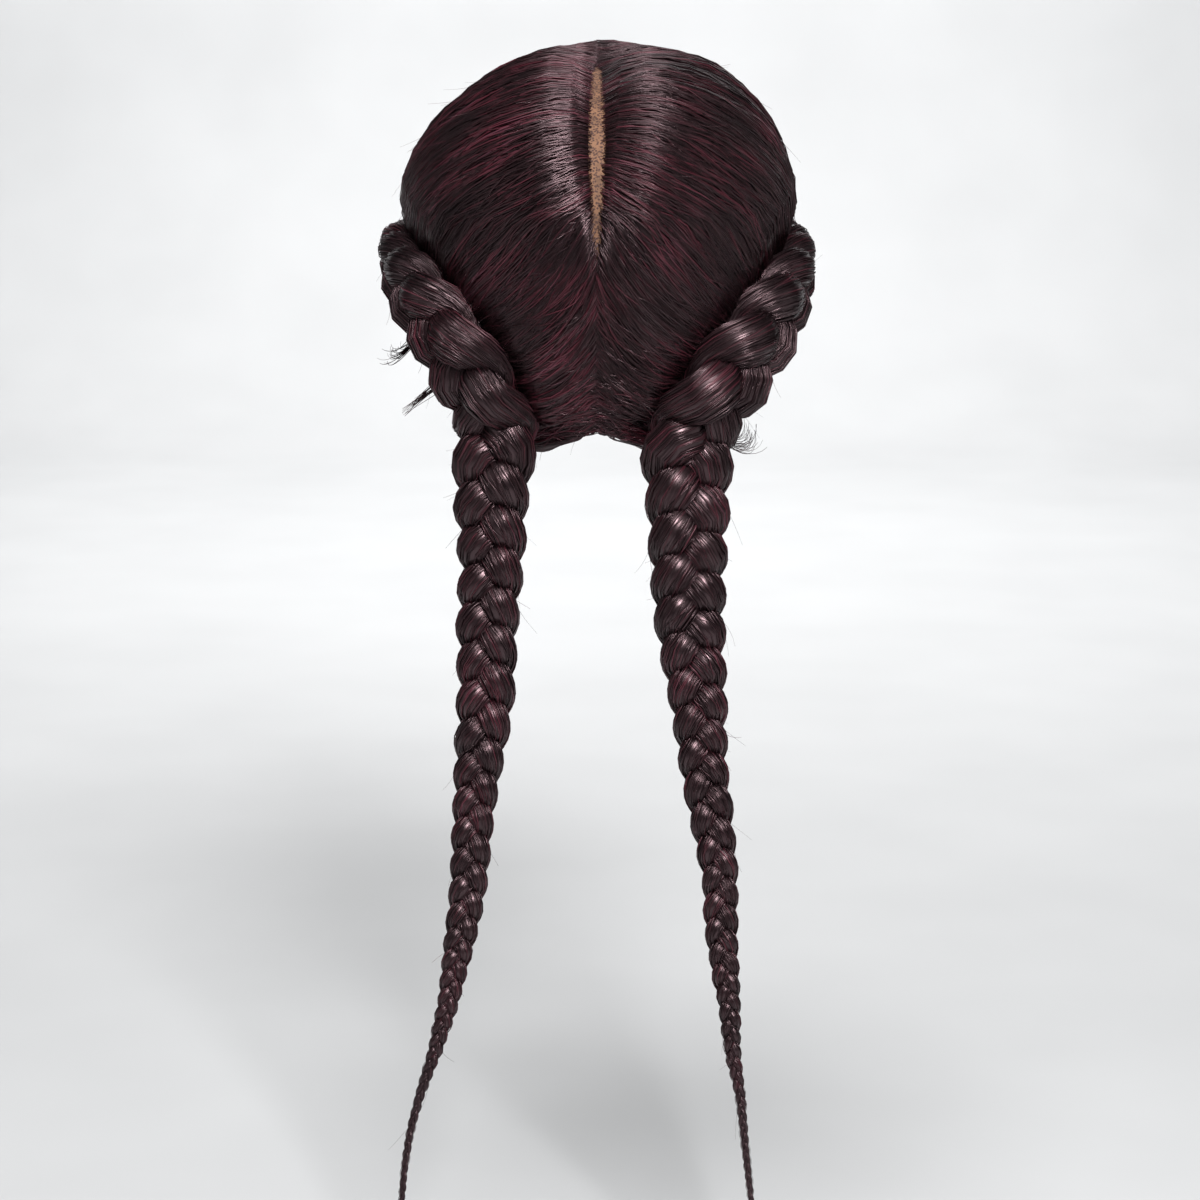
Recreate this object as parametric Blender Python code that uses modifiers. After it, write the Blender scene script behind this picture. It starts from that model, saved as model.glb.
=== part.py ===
"""Braid wig: a hollow cap, a lace parting, two halves of hair and a three-strand braid on each side.

Units are metres and +Z is up. The face looks along -Y and the wearer's left is +X. The origin is
the inner crown of the cap, where the wig bears on a head.

A direction on the head is a tilt from the crown and a turn from the back of the head, with a
positive turn towards the wearer's left.
"""

import math
from collections import namedtuple

import bmesh
import bpy
import numpy as np

# Clearance that neighbouring pieces keep
GAP = 0.0003

# Head form inside the cap, measured from its widest level
HEAD_HALF_WIDTH = 0.078
HEAD_FRONT = 0.090
HEAD_BACK = 0.097
HEAD_RISE = 0.060
HEAD_DROP = 0.150
HEAD_CENTRE = np.array([0.0, 0.0, -HEAD_RISE])

# Cap, with its columns round the head and its rows from crown to edge
CAP_WALL = 0.0015
CAP_COLUMNS = 28
CAP_ROWS = 7

# Lace along the parting, from the front hairline to the back of the head, its ends as tilts in degrees
LACE_WALL = 0.0008
LACE_FIRST_TILT = -76.0
LACE_LAST_TILT = 93.0
LACE_ROWS = 20
LACE_CLEARANCE = 0.0006

# Depth of the hair over the head form: along its middle, under a braid, at the hem and at the parting,
# and the width of the band in which each one eases into the full depth
HAIR_SEAT = CAP_WALL + 5.0 * GAP
MIDDLE_DEPTH = 0.0125
BRAID_SEAT_DEPTH = 0.0085
HEM_DEPTH = 0.0046
THINNEST_HAIR = 0.0013
PARTING_DEPTH = 0.0055
PARTING_BAND = 0.009
HEM_BAND = 0.022
BRAID_BAND = 0.017
BRAID_BED = 0.008

# Locks: ridges between valleys, along the flow from the parting to the hem
LOCK_RELIEF = 0.0030
LOCKS_PER_SIDE = 8
COLUMNS_PER_LOCK = 3
HAIR_ROWS = 11
FIRST_FLOW = 0.02
LAST_FLOW = 0.985
FLOW_SWEEP = 1.35

# Dense steps between the rows of a braid's tables
SEAM_STEPS = 6
ROUTE_STEPS = 24

# Rise of the hair beside the parting, just in front of the crown, with its tilt in degrees
RISE_HEIGHT = 0.0040
RISE_TILT = 19.0
RISE_TILT_SPREAD = 13.0
RISE_HALF_WIDTH = 0.018

# Braids, as shares of the braid's width: how far a strand swings across and weaves through the plait,
# the strand's own half sizes, and the rounded outline that holds all three
SWING = 0.27
WEAVE = 0.165
STRAND_HALF_WIDTH = 0.30
STRAND_HALF_DEPTH = 0.17
BRAID_HALF_WIDTH = 0.5
BRAID_HALF_DEPTH = 0.31
BRAID_SQUARENESS = 2.4

# Braids in metres: the space under them, and the lengths over which the strands taper at their tips
BRAID_CLEARANCE = 0.0017
START_TAPER = 0.010
END_TAPER = 0.030
START_SIZE = 0.35
END_SIZE = 0.45

# Strands: sections in one full turn of the plait, sides of a section, and fine steps between sections
STRANDS = 3
SECTIONS_PER_TURN = 9
STRAND_SIDES = 6
FINE_STEPS = 8
PHASE_NUDGE = 0.02

ROUGHNESS = {"cap": 0.9, "lace": 0.8, "hair": 0.45}
SHARP_ANGLE = 50.0

Hem = namedtuple("Hem", "turn height")
Parting = namedtuple("Parting", "tilt half_width")
Fullness = namedtuple("Fullness", "tilt left right")
Seam = namedtuple("Seam", "turn height width pitch")
Hang = namedtuple("Hang", "across back height width pitch face_turn")

# Edge of the cap and the hair: turn from the back in degrees, height in metres
HEM = [
    Hem(0, -0.155),
    Hem(10, -0.160),
    Hem(20, -0.168),
    Hem(32, -0.171),
    Hem(46, -0.170),
    Hem(60, -0.163),
    Hem(74, -0.145),
    Hem(88, -0.110),
    Hem(100, -0.104),
    Hem(114, -0.122),
    Hem(130, -0.088),
    Hem(150, -0.062),
    Hem(180, -0.052),
]

# Half of the lace's width along the middle of the head, from the front hairline over the crown
PARTING = [
    Parting(-76, 0.0016),
    Parting(-44, 0.0020),
    Parting(-22, 0.0006),
    Parting(26, 0.0008),
    Parting(42, 0.0026),
    Parting(60, 0.0034),
    Parting(78, 0.0026),
    Parting(93, 0.0010),
    Parting(104, 0.0),
]

# Depth of the hair over each side of the head form, from the crown down
FULLNESS = [
    Fullness(0, 0.0130, 0.0125),
    Fullness(20, 0.0130, 0.0160),
    Fullness(35, 0.0115, 0.0185),
    Fullness(50, 0.0095, 0.0160),
    Fullness(72, 0.0120, 0.0140),
    Fullness(90, 0.0140, 0.0150),
]

# Line on the head that each braid follows: turn, height, width, and pitch as a share of the width
SEAM = {
    "left": [
        Seam(142, -0.056, 0.015, 0.80),
        Seam(124, -0.069, 0.019, 0.80),
        Seam(104, -0.080, 0.023, 0.80),
        Seam(82, -0.083, 0.028, 0.76),
        Seam(60, -0.095, 0.035, 0.68),
        Seam(45, -0.112, 0.039, 0.65),
        Seam(37, -0.131, 0.040, 0.62),
        Seam(34, -0.150, 0.038, 0.58),
    ],
    "right": [
        Seam(142, -0.056, 0.015, 0.80),
        Seam(124, -0.069, 0.019, 0.80),
        Seam(104, -0.080, 0.023, 0.80),
        Seam(82, -0.086, 0.029, 0.76),
        Seam(63, -0.099, 0.037, 0.68),
        Seam(48, -0.116, 0.042, 0.64),
        Seam(37, -0.133, 0.043, 0.60),
        Seam(31, -0.152, 0.042, 0.56),
    ],
}

# Where each braid hangs free: distance to its side and to the back, height, width, pitch as a
# share of the width, and how far its face turns from the back towards its own side in degrees
HANG = {
    "left": [
        Hang(0.0470, 0.079, -0.176, 0.0345, 0.56, 16),
        Hang(0.0474, 0.081, -0.214, 0.0290, 0.62, 14),
        Hang(0.0494, 0.082, -0.243, 0.0275, 0.65, 11),
        Hang(0.0505, 0.086, -0.278, 0.0255, 0.68, 8),
        Hang(0.0538, 0.089, -0.306, 0.0215, 0.72, 6),
        Hang(0.0565, 0.094, -0.333, 0.0180, 0.77, 4),
        Hang(0.0587, 0.099, -0.361, 0.0165, 0.77, 2),
        Hang(0.0611, 0.102, -0.378, 0.0148, 0.76, 0),
        Hang(0.0643, 0.106, -0.395, 0.0122, 0.75, 0),
        Hang(0.0680, 0.110, -0.414, 0.0096, 0.72, 0),
        Hang(0.0745, 0.112, -0.438, 0.0066, 0.85, 0),
        Hang(0.0811, 0.113, -0.458, 0.0044, 2.20, 0),
        Hang(0.0868, 0.115, -0.481, 0.0036, 3.00, 0),
        Hang(0.0899, 0.116, -0.508, 0.0032, 3.40, 0),
        Hang(0.0910, 0.116, -0.530, 0.0028, 3.40, 0),
    ],
    "right": [
        Hang(0.0405, 0.079, -0.176, 0.0385, 0.54, 14),
        Hang(0.0408, 0.081, -0.214, 0.0340, 0.54, 12),
        Hang(0.0420, 0.082, -0.243, 0.0310, 0.57, 7),
        Hang(0.0460, 0.086, -0.278, 0.0255, 0.63, 3),
        Hang(0.0484, 0.089, -0.306, 0.0215, 0.70, 0),
        Hang(0.0525, 0.094, -0.333, 0.0190, 0.78, 0),
        Hang(0.0560, 0.098, -0.357, 0.0160, 0.80, 0),
        Hang(0.0566, 0.102, -0.378, 0.0147, 0.78, 0),
        Hang(0.0580, 0.106, -0.395, 0.0130, 0.75, 0),
        Hang(0.0603, 0.110, -0.414, 0.0102, 0.72, 0),
        Hang(0.0622, 0.112, -0.438, 0.0074, 0.80, 0),
        Hang(0.0656, 0.113, -0.458, 0.0048, 2.00, 0),
        Hang(0.0680, 0.115, -0.481, 0.0038, 3.00, 0),
        Hang(0.0710, 0.116, -0.508, 0.0032, 3.40, 0),
        Hang(0.0725, 0.116, -0.528, 0.0028, 3.40, 0),
    ],
}

SIDE_SIGN = {"left": 1.0, "right": -1.0}

COLOURS = {
    "cap": (0.018, 0.010, 0.013),
    "lace": (0.42, 0.25, 0.14),
    "hair": (0.045, 0.016, 0.024),
}


def smooth_step(value, low, high):
    """Ease from 0 at low to 1 at high."""
    share = np.clip((np.asarray(value, float) - low) / (high - low), 0.0, 1.0)
    return share * share * (3.0 - 2.0 * share)


def unit(vectors):
    """Vectors of length 1 along the last axis."""
    vectors = np.asarray(vectors, float)
    return vectors / np.linalg.norm(vectors, axis=-1, keepdims=True)


def direction(tilt, turn):
    """Unit direction for a tilt from the crown and a turn from the back, in degrees."""
    tilt = math.radians(tilt)
    turn = math.radians(turn)
    return np.array([
        math.sin(tilt) * math.sin(turn),
        math.sin(tilt) * math.cos(turn),
        math.cos(tilt),
    ])


def radii(directions):
    """Half sizes of the head form on the side that each direction points to."""
    directions = np.asarray(directions, float)
    lengthwise = np.where(directions[..., 1] > 0.0, HEAD_BACK, HEAD_FRONT)
    upright = np.where(directions[..., 2] > 0.0, HEAD_RISE, HEAD_DROP)
    return np.stack([np.full_like(lengthwise, HEAD_HALF_WIDTH), lengthwise, upright], axis=-1)


def head_point(directions, offset=0.0):
    """Points at an offset outside the head form."""
    sizes = radii(directions)
    foot = HEAD_CENTRE + sizes * directions
    outward = unit(directions / sizes)
    return foot + outward * np.asarray(offset, float)[..., None]


def head_outward(directions):
    """Outward normals of the head form."""
    return unit(directions / radii(directions))


def direction_at_height(turn, height):
    """Direction whose point on the head form has a turn and a height."""
    drop = height - HEAD_CENTRE[2]
    upright = HEAD_RISE if drop > 0.0 else HEAD_DROP
    return direction(math.degrees(math.acos(drop / upright)), turn)


def hem_height(turn):
    """Height of the cap's edge at a turn from the back."""
    turns = [row.turn for row in HEM]
    heights = [row.height for row in HEM]
    return float(np.interp(abs(turn), turns, heights))


def slerp(first, last, share):
    """Direction at a share of the arc between two directions."""
    angle = math.acos(float(np.clip(first @ last, -1.0, 1.0)))
    return (math.sin((1.0 - share) * angle) * first + math.sin(share * angle) * last) / math.sin(angle)


def smooth_rows(rows, steps):
    """Catmull-Rom curve through the rows of a table, column by column."""
    rows = np.asarray(rows, float)
    padded = np.vstack([2.0 * rows[0] - rows[1], rows, 2.0 * rows[-1] - rows[-2]])
    out = []
    for index in range(len(rows) - 1):
        before, start, end, after = padded[index:index + 4]
        for share in np.arange(steps) / steps:
            out.append(0.5 * (
                2.0 * start
                + (end - before) * share
                + (2.0 * before - 5.0 * start + 4.0 * end - after) * share ** 2
                + (3.0 * start - before - 3.0 * end + after) * share ** 3
            ))
    out.append(rows[-1])
    return np.array(out)


def parting_half_width(tilt):
    """Half of the gap between the two halves of hair at a tilt along the middle of the head."""
    tilts = [row.tilt for row in PARTING]
    widths = [row.half_width for row in PARTING]
    return float(np.interp(tilt, tilts, widths)) + LACE_CLEARANCE


def seam_feet(side):
    """Points on the head form under the braid of one side."""
    rows = smooth_rows(SEAM[side], SEAM_STEPS)
    return np.array([head_point(direction_at_height(row[0] * SIDE_SIGN[side], row[1])) for row in rows])


def hair_depth(directions, side, feet):
    """Depth of the hair over the head form."""
    points = head_point(directions)
    turns = np.degrees(np.arctan2(directions[:, 0], directions[:, 1]))
    tilts = np.degrees(np.arccos(np.clip(directions[:, 2], -1.0, 1.0)))

    sideways = np.abs(np.sin(np.radians(turns))) ** 0.5
    full = np.interp(tilts, [row.tilt for row in FULLNESS], [getattr(row, side) for row in FULLNESS])
    depth = MIDDLE_DEPTH + (full - MIDDLE_DEPTH) * sideways
    before_crown = np.exp(-((tilts - RISE_TILT) / RISE_TILT_SPREAD) ** 2) * (directions[:, 1] < 0.0)
    beside = np.exp(-(points[:, 0] / RISE_HALF_WIDTH) ** 2)
    depth = depth + RISE_HEIGHT * before_crown * beside

    spans = np.linalg.norm(points[:, None, :] - feet[None, :, :], axis=2)
    nearest = spans.argmin(axis=1)
    span = spans.min(axis=1)
    above = points[:, 2] > feet[nearest, 2]
    rise = smooth_step(span, BRAID_BED, BRAID_BED + BRAID_BAND)
    depth = np.where(above, BRAID_SEAT_DEPTH + (depth - BRAID_SEAT_DEPTH) * rise, BRAID_SEAT_DEPTH)

    hems = np.array([hem_height(turn) for turn in turns])
    over_hem = smooth_step(points[:, 2] - hems, 0.0, HEM_BAND)
    depth = HEM_DEPTH + (depth - HEM_DEPTH) * over_hem

    groove = PARTING_DEPTH + (depth - PARTING_DEPTH) * before_crown
    beside_parting = smooth_step(np.abs(points[:, 0]), 0.0, PARTING_BAND)
    return np.minimum(depth, groove + (depth - groove) * beside_parting)


def flow_line(side, flow):
    """First and last direction of a lock that leaves the parting and reaches the hem."""
    first_tilt = -math.degrees(math.acos((HEM[-1].height - HEAD_CENTRE[2]) / HEAD_RISE))
    last_tilt = math.degrees(math.acos((HEM[0].height - HEAD_CENTRE[2]) / HEAD_DROP))
    tilt = first_tilt + (last_tilt - first_tilt) * flow
    start = direction(tilt, 0.0)
    start[0] = SIDE_SIGN[side] * parting_half_width(tilt) / HEAD_HALF_WIDTH
    turn = 180.0 * (1.0 - flow) ** FLOW_SWEEP
    end = direction_at_height(SIDE_SIGN[side] * turn, hem_height(turn))
    return unit(start), end


def make_material(name, stuff):
    """Principled material of one stuff: cap, lace or hair."""
    material = bpy.data.materials.new(name)
    material.use_nodes = True
    shader = material.node_tree.nodes["Principled BSDF"]
    shader.inputs["Base Color"].default_value = (*COLOURS[stuff], 1.0)
    shader.inputs["Roughness"].default_value = ROUGHNESS[stuff]
    shader.inputs["Metallic"].default_value = 0.0
    return material


def add_object(name, bm, collection, stuff):
    """Object made of a finished bmesh."""
    mesh = bpy.data.meshes.new(name)
    bm.to_mesh(mesh)
    bm.free()
    mesh.shade_smooth()
    mesh.set_sharp_from_angle(angle=math.radians(SHARP_ANGLE))
    mesh.materials.append(make_material(name, stuff))
    thing = bpy.data.objects.new(name, mesh)
    collection.objects.link(thing)
    return thing


def add_wall(thing, thickness):
    """Give an open surface its wall, on its outer side."""
    wall = thing.modifiers.new("wall", "SOLIDIFY")
    wall.thickness = thickness
    wall.offset = 1.0
    wall.use_even_offset = True


def build_cap(collection):
    """Hollow cap over the head form, open below, with its edge along the hairline."""
    bm = bmesh.new()
    crown = bm.verts.new(head_point(direction(0.0, 0.0)))
    rings = []
    for row in range(1, CAP_ROWS + 1):
        ring = []
        for column in range(CAP_COLUMNS):
            turn = 360.0 * column / CAP_COLUMNS
            signed = turn if turn <= 180.0 else turn - 360.0
            edge = direction_at_height(signed, hem_height(signed))
            edge_tilt = math.degrees(math.acos(edge[2]))
            ring.append(bm.verts.new(head_point(direction(edge_tilt * row / CAP_ROWS, signed))))
        rings.append(ring)
    for column in range(CAP_COLUMNS):
        following = (column + 1) % CAP_COLUMNS
        bm.faces.new((crown, rings[0][following], rings[0][column]))
        for upper, lower in zip(rings, rings[1:]):
            bm.faces.new((upper[column], upper[following], lower[following], lower[column]))
    thing = add_object("cap", bm, collection, "cap")
    add_wall(thing, CAP_WALL)


def build_lace(collection):
    """Lace strip that lies on the cap in the parting."""
    bm = bmesh.new()
    rows = []
    for row in range(LACE_ROWS + 1):
        tilt = LACE_FIRST_TILT + (LACE_LAST_TILT - LACE_FIRST_TILT) * row / LACE_ROWS
        half = (parting_half_width(tilt) - LACE_CLEARANCE) / HEAD_HALF_WIDTH
        middle = direction(tilt, 0.0)
        row_verts = []
        for side in (-1.0, 0.0, 1.0):
            edge = unit(middle + np.array([side * half, 0.0, 0.0]))
            row_verts.append(bm.verts.new(head_point(edge, CAP_WALL + 2.0 * GAP)))
        rows.append(row_verts)
    for near, far in zip(rows, rows[1:]):
        for column in range(2):
            bm.faces.new((near[column], near[column + 1], far[column + 1], far[column]))
    thing = add_object("parting_lace", bm, collection, "lace")
    add_wall(thing, LACE_WALL)


def build_hair(side, collection):
    """Half of the hair: locks that leave the parting and sweep to the braid and the hem."""
    feet = seam_feet(side)
    columns = LOCKS_PER_SIDE * COLUMNS_PER_LOCK
    shares = np.arange(HAIR_ROWS + 1) / HAIR_ROWS
    valley = LOCK_RELIEF * np.sin(math.pi * shares)
    bm = bmesh.new()
    inner = []
    outer = []
    for column in range(columns + 1):
        start, end = flow_line(side, FIRST_FLOW + (LAST_FLOW - FIRST_FLOW) * column / columns)
        line = unit([slerp(start, end, share) for share in shares])
        depth = hair_depth(line, side, feet)
        if column % COLUMNS_PER_LOCK == 0:
            depth = np.maximum(depth - valley, HAIR_SEAT + THINNEST_HAIR)
        seat = head_point(line, np.full(len(line), HAIR_SEAT))
        top = head_point(line, depth)
        inner.append([bm.verts.new(point) for point in seat])
        outer.append([bm.verts.new(point) for point in top])
    for column in range(columns):
        for row in range(HAIR_ROWS):
            for sheet in (inner, outer):
                bm.faces.new((sheet[column][row], sheet[column + 1][row],
                              sheet[column + 1][row + 1], sheet[column][row + 1]))
        for row in (0, HAIR_ROWS):
            bm.faces.new((inner[column][row], inner[column + 1][row],
                          outer[column + 1][row], outer[column][row]))
    for column in (0, columns):
        for row in range(HAIR_ROWS):
            bm.faces.new((inner[column][row], inner[column][row + 1],
                          outer[column][row + 1], outer[column][row]))
    bmesh.ops.recalc_face_normals(bm, faces=bm.faces)
    add_object(f"{side}_hair", bm, collection, "hair")


def braid_route(side):
    """Middle line of a braid with its outward face, width and pitch, as one dense table."""
    sign = SIDE_SIGN[side]
    feet = seam_feet(side)
    rows = []
    for row in SEAM[side]:
        at = direction_at_height(sign * row.turn, row.height)
        depth = hair_depth(at[None, :], side, feet)[0]
        lift = depth + BRAID_CLEARANCE + BRAID_HALF_DEPTH * row.width
        rows.append([*head_point(at, lift), *head_outward(at), row.width, row.pitch])
    for row in HANG[side]:
        turn = math.radians(row.face_turn)
        face = (sign * math.sin(turn), math.cos(turn), 0.0)
        rows.append([sign * row.across, row.back, row.height, *face, row.width, row.pitch])
    return smooth_rows(rows, ROUTE_STEPS)


class Braid:
    """Middle lines of three strands that swing side to side and pass over one another."""

    def __init__(self, side):
        table = braid_route(side)
        middle = table[:, 0:3]
        steps = np.linalg.norm(np.diff(middle, axis=0), axis=1)
        self.run = np.concatenate([[0.0], np.cumsum(steps)])
        along = unit(np.gradient(middle, self.run, axis=0))
        face = table[:, 3:6]
        face = unit(face - along * np.sum(face * along, axis=1, keepdims=True))
        self.middle = middle
        self.face = face
        self.across = np.cross(along, face)
        self.width = table[:, 6]
        rate = 2.0 * math.pi / (STRANDS * table[:, 7] * self.width)
        self.phase = np.concatenate([[0.0], np.cumsum(0.5 * (rate[1:] + rate[:-1]) * steps)])
        self.sections = int(self.phase[-1] * SECTIONS_PER_TURN / (2.0 * math.pi))

    def column(self, values, phase):
        """Value of a dense column at a phase of the plait."""
        if values.ndim == 1:
            return np.interp(phase, self.phase, values)
        return np.stack([np.interp(phase, self.phase, part) for part in values.T], axis=-1)

    def strand(self, index, phase):
        """Middle of one strand at phases of the plait."""
        own = phase + 2.0 * math.pi * index / STRANDS
        width = self.column(self.width, phase)
        sideways = (SWING * width * np.sin(own))[:, None]
        through = (WEAVE * width * np.sin(2.0 * own))[:, None]
        across = self.column(self.across, phase)
        face = self.column(self.face, phase)
        return self.column(self.middle, phase) + across * sideways + face * through

    def reach(self, phase):
        """Size of the strands at their tips as a share of their full size."""
        run = self.column(self.run, phase)
        start = START_SIZE + (1.0 - START_SIZE) * smooth_step(run, 0.0, START_TAPER)
        left = self.run[-1] - run
        end = END_SIZE + (1.0 - END_SIZE) * smooth_step(left, 0.0, END_TAPER)
        return start * end


def strand_spokes(braid, index, phases):
    """Full-size spokes from a strand's middle to its sides, one set for each section."""
    middle = braid.strand(index, phases)
    along = unit(braid.strand(index, phases + PHASE_NUDGE) - braid.strand(index, phases - PHASE_NUDGE))
    face = braid.column(braid.face, phases)
    through = unit(face - along * np.sum(face * along, axis=1, keepdims=True))
    sideways = np.cross(through, along)
    width = (braid.column(braid.width, phases) * braid.reach(phases))[:, None]
    spokes = []
    for side in range(STRAND_SIDES):
        angle = 2.0 * math.pi * (side + 0.5) / STRAND_SIDES
        spoke = sideways * STRAND_HALF_WIDTH * math.cos(angle) + through * STRAND_HALF_DEPTH * math.sin(angle)
        spokes.append(width * spoke)
    return middle, np.stack(spokes, axis=1)


def nearest_span(points, sections, line):
    """Distance from points near given sections to a strand's fine middle line."""
    window = np.arange(-2 * FINE_STEPS, 2 * FINE_STEPS + 1)
    picks = np.rint(sections * FINE_STEPS).astype(int)[:, None] + window[None, :]
    picks = np.clip(picks, 0, len(line) - 1)
    gaps = np.linalg.norm(points[:, None, :] - line[picks], axis=2)
    return gaps.min(axis=1)


class StrandFit:
    """Three strands pressed against one another, each inside the braid and clear of the others."""

    # Places on each face between two sections: share down and share round
    PLACES = [
        (0.0, 0.0), (0.0, 0.5), (0.5, 0.0), (0.5, 0.5),
        (0.25, 0.25), (0.75, 0.75), (0.25, 0.75), (0.75, 0.25),
    ]
    CLEARANCE = 1.9 * GAP
    SHRINK = 0.94
    GROW = 1.05
    SMALLEST = 0.25
    LARGEST = 1.2
    SHRINK_ROUNDS = 40
    GROW_ROUNDS = 16

    def __init__(self, braid, phases):
        self.braid = braid
        self.phases = phases
        steps = FINE_STEPS * (len(phases) - 1)
        fine = np.linspace(0.0, phases[-1], steps + 1)
        self.lines = [braid.strand(index, fine) for index in range(STRANDS)]
        columns = (braid.middle, braid.across, braid.face, braid.width)
        self.frames = [braid.column(part, fine) for part in columns]
        self.strands = [strand_spokes(braid, index, phases) for index in range(STRANDS)]
        self.sizes = [np.ones((len(phases), STRAND_SIDES)) for _ in range(STRANDS)]

    def outside(self, points, sections):
        """Points that lie outside the braid's rounded outline."""
        picks = np.clip(np.rint(sections * FINE_STEPS).astype(int), 0, len(self.lines[0]) - 1)
        middle, across, face, width = [part[picks] for part in self.frames]
        offsets = points - middle
        sideways = np.abs(np.sum(offsets * across, axis=1)) / (BRAID_HALF_WIDTH * width)
        through = np.abs(np.sum(offsets * face, axis=1)) / (BRAID_HALF_DEPTH * width)
        return sideways ** BRAID_SQUARENESS + through ** BRAID_SQUARENESS > 1.0

    def clashing(self, index):
        """Corners of one strand that belong to a face reaching out of the braid or into a rival."""
        middle, spokes = self.strands[index]
        rings = middle[:, None, :] + spokes * self.sizes[index][:, :, None]
        marked = np.zeros(self.sizes[index].shape, bool)
        rivals = [rival for rival in range(STRANDS) if rival != index]
        for down, aside in self.PLACES:
            last = len(rings) if down == 0.0 else len(rings) - 1
            upper = rings[:last]
            lower = rings[1:] if down else upper
            near = (1.0 - down) * upper + down * lower
            points = ((1.0 - aside) * near + aside * np.roll(near, -1, axis=1)).reshape(-1, 3)
            sections = np.repeat(np.arange(last) + down, STRAND_SIDES)
            own = nearest_span(points, sections, self.lines[index])
            other = np.min([nearest_span(points, sections, self.lines[rival]) for rival in rivals], axis=0)
            clash = (other - own < self.CLEARANCE) | self.outside(points, sections)
            clash = clash.reshape(last, STRAND_SIDES)
            touched = clash | np.roll(clash, 1, axis=1) if aside else clash
            marked[:last] |= touched
            if down:
                marked[1:] |= touched
        return marked

    def shrink(self):
        """Draw in every clashing corner until none is left."""
        for _ in range(self.SHRINK_ROUNDS):
            marks = [self.clashing(index) for index in range(STRANDS)]
            if not any(mark.any() for mark in marks):
                return
            for size, mark in zip(self.sizes, marks):
                size[mark] = np.maximum(size[mark] * self.SHRINK, self.SMALLEST)

    def grow(self):
        """Let out every corner that has room, every other corner in turn."""
        sections, sides = np.indices(self.sizes[0].shape)
        for turn in range(self.GROW_ROUNDS):
            chosen = (sections + sides + turn) % 2 == 0
            for index in range(STRANDS):
                before = self.sizes[index].copy()
                self.sizes[index][chosen] = np.minimum(before[chosen] * self.GROW, self.LARGEST)
                marked = self.clashing(index)
                self.sizes[index] = np.where(marked, before, self.sizes[index])

    def rings(self):
        """Corner points of every section of every strand."""
        return [middle[:, None, :] + spokes * size[:, :, None]
                for (middle, spokes), size in zip(self.strands, self.sizes)]


def build_braid(side, collection):
    """Three strands, each one closed bundle of hair from the temple to the tip."""
    braid = Braid(side)
    phases = 2.0 * math.pi * np.arange(braid.sections + 1) / SECTIONS_PER_TURN
    fit = StrandFit(braid, phases)
    fit.shrink()
    fit.grow()
    for index, rings in enumerate(fit.rings()):
        bm = bmesh.new()
        verts = [[bm.verts.new(point) for point in ring] for ring in rings]
        for near, far in zip(verts, verts[1:]):
            for corner in range(STRAND_SIDES):
                following = (corner + 1) % STRAND_SIDES
                bm.faces.new((near[corner], near[following], far[following], far[corner]))
        bm.faces.new(verts[0])
        bm.faces.new(verts[-1])
        bmesh.ops.recalc_face_normals(bm, faces=bm.faces)
        add_object(f"{side}_braid_strand_{index + 1}", bm, collection, "hair")


def main():
    for thing in list(bpy.data.objects):
        bpy.data.objects.remove(thing)
    collection = bpy.data.collections.new("braid_wig")
    bpy.context.scene.collection.children.link(collection)
    build_cap(collection)
    build_lace(collection)
    for side in ("left", "right"):
        build_hair(side, collection)
        build_braid(side, collection)


main()
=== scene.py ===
"""Looks of the braid wig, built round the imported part.

Units are metres and +Z is up. The face looks along -Y and the wearer's left is +X. The origin is
the inner crown of the cap. A direction on the head is a tilt from the crown and a turn from the
back of the head, with a positive turn towards the wearer's left.
"""

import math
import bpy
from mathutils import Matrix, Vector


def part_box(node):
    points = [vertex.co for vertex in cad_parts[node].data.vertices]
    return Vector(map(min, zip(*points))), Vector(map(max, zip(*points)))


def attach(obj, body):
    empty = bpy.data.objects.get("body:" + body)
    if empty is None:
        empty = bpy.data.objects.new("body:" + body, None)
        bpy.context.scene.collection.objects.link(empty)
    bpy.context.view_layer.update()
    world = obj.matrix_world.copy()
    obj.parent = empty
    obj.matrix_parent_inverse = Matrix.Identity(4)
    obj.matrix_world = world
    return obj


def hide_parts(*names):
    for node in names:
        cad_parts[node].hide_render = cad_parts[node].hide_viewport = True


bl_info = {
    "name": "Braid Wig Looks",
    "version": (1, 0, 0),
    "blender": (4, 5, 0),
    "location": "View3D > Sidebar > Braid Wig",
    "description": "Builds the cap, the hair and the plaited strands of a braid wig on its packed part",
    "category": "Object",
}

from collections import namedtuple
from functools import partial

import bpy
import numpy as np
from bpy.props import FloatProperty, FloatVectorProperty, IntProperty, PointerProperty
from mathutils import Vector

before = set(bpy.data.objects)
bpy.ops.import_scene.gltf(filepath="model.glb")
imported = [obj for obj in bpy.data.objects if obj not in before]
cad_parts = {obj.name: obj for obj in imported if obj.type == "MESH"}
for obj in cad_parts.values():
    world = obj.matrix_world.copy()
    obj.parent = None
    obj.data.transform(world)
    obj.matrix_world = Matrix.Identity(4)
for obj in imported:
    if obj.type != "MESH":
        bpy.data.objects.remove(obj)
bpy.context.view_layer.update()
cap_low, cap_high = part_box("cap")

# Head form inside the cap, measured from its widest level
CAP_WALL = 0.0015
HEAD_HALF_WIDTH = 0.5 * (cap_high.x - cap_low.x) - CAP_WALL
HEAD_BACK = cap_high.y - CAP_WALL
FRONT_TO_BACK = 0.93
HEAD_FRONT = FRONT_TO_BACK * HEAD_BACK
HEAD_RISE = 0.060
HEAD_DROP = 0.150
HEAD_CENTRE = np.array([0.0, 0.0, -HEAD_RISE])

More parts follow.
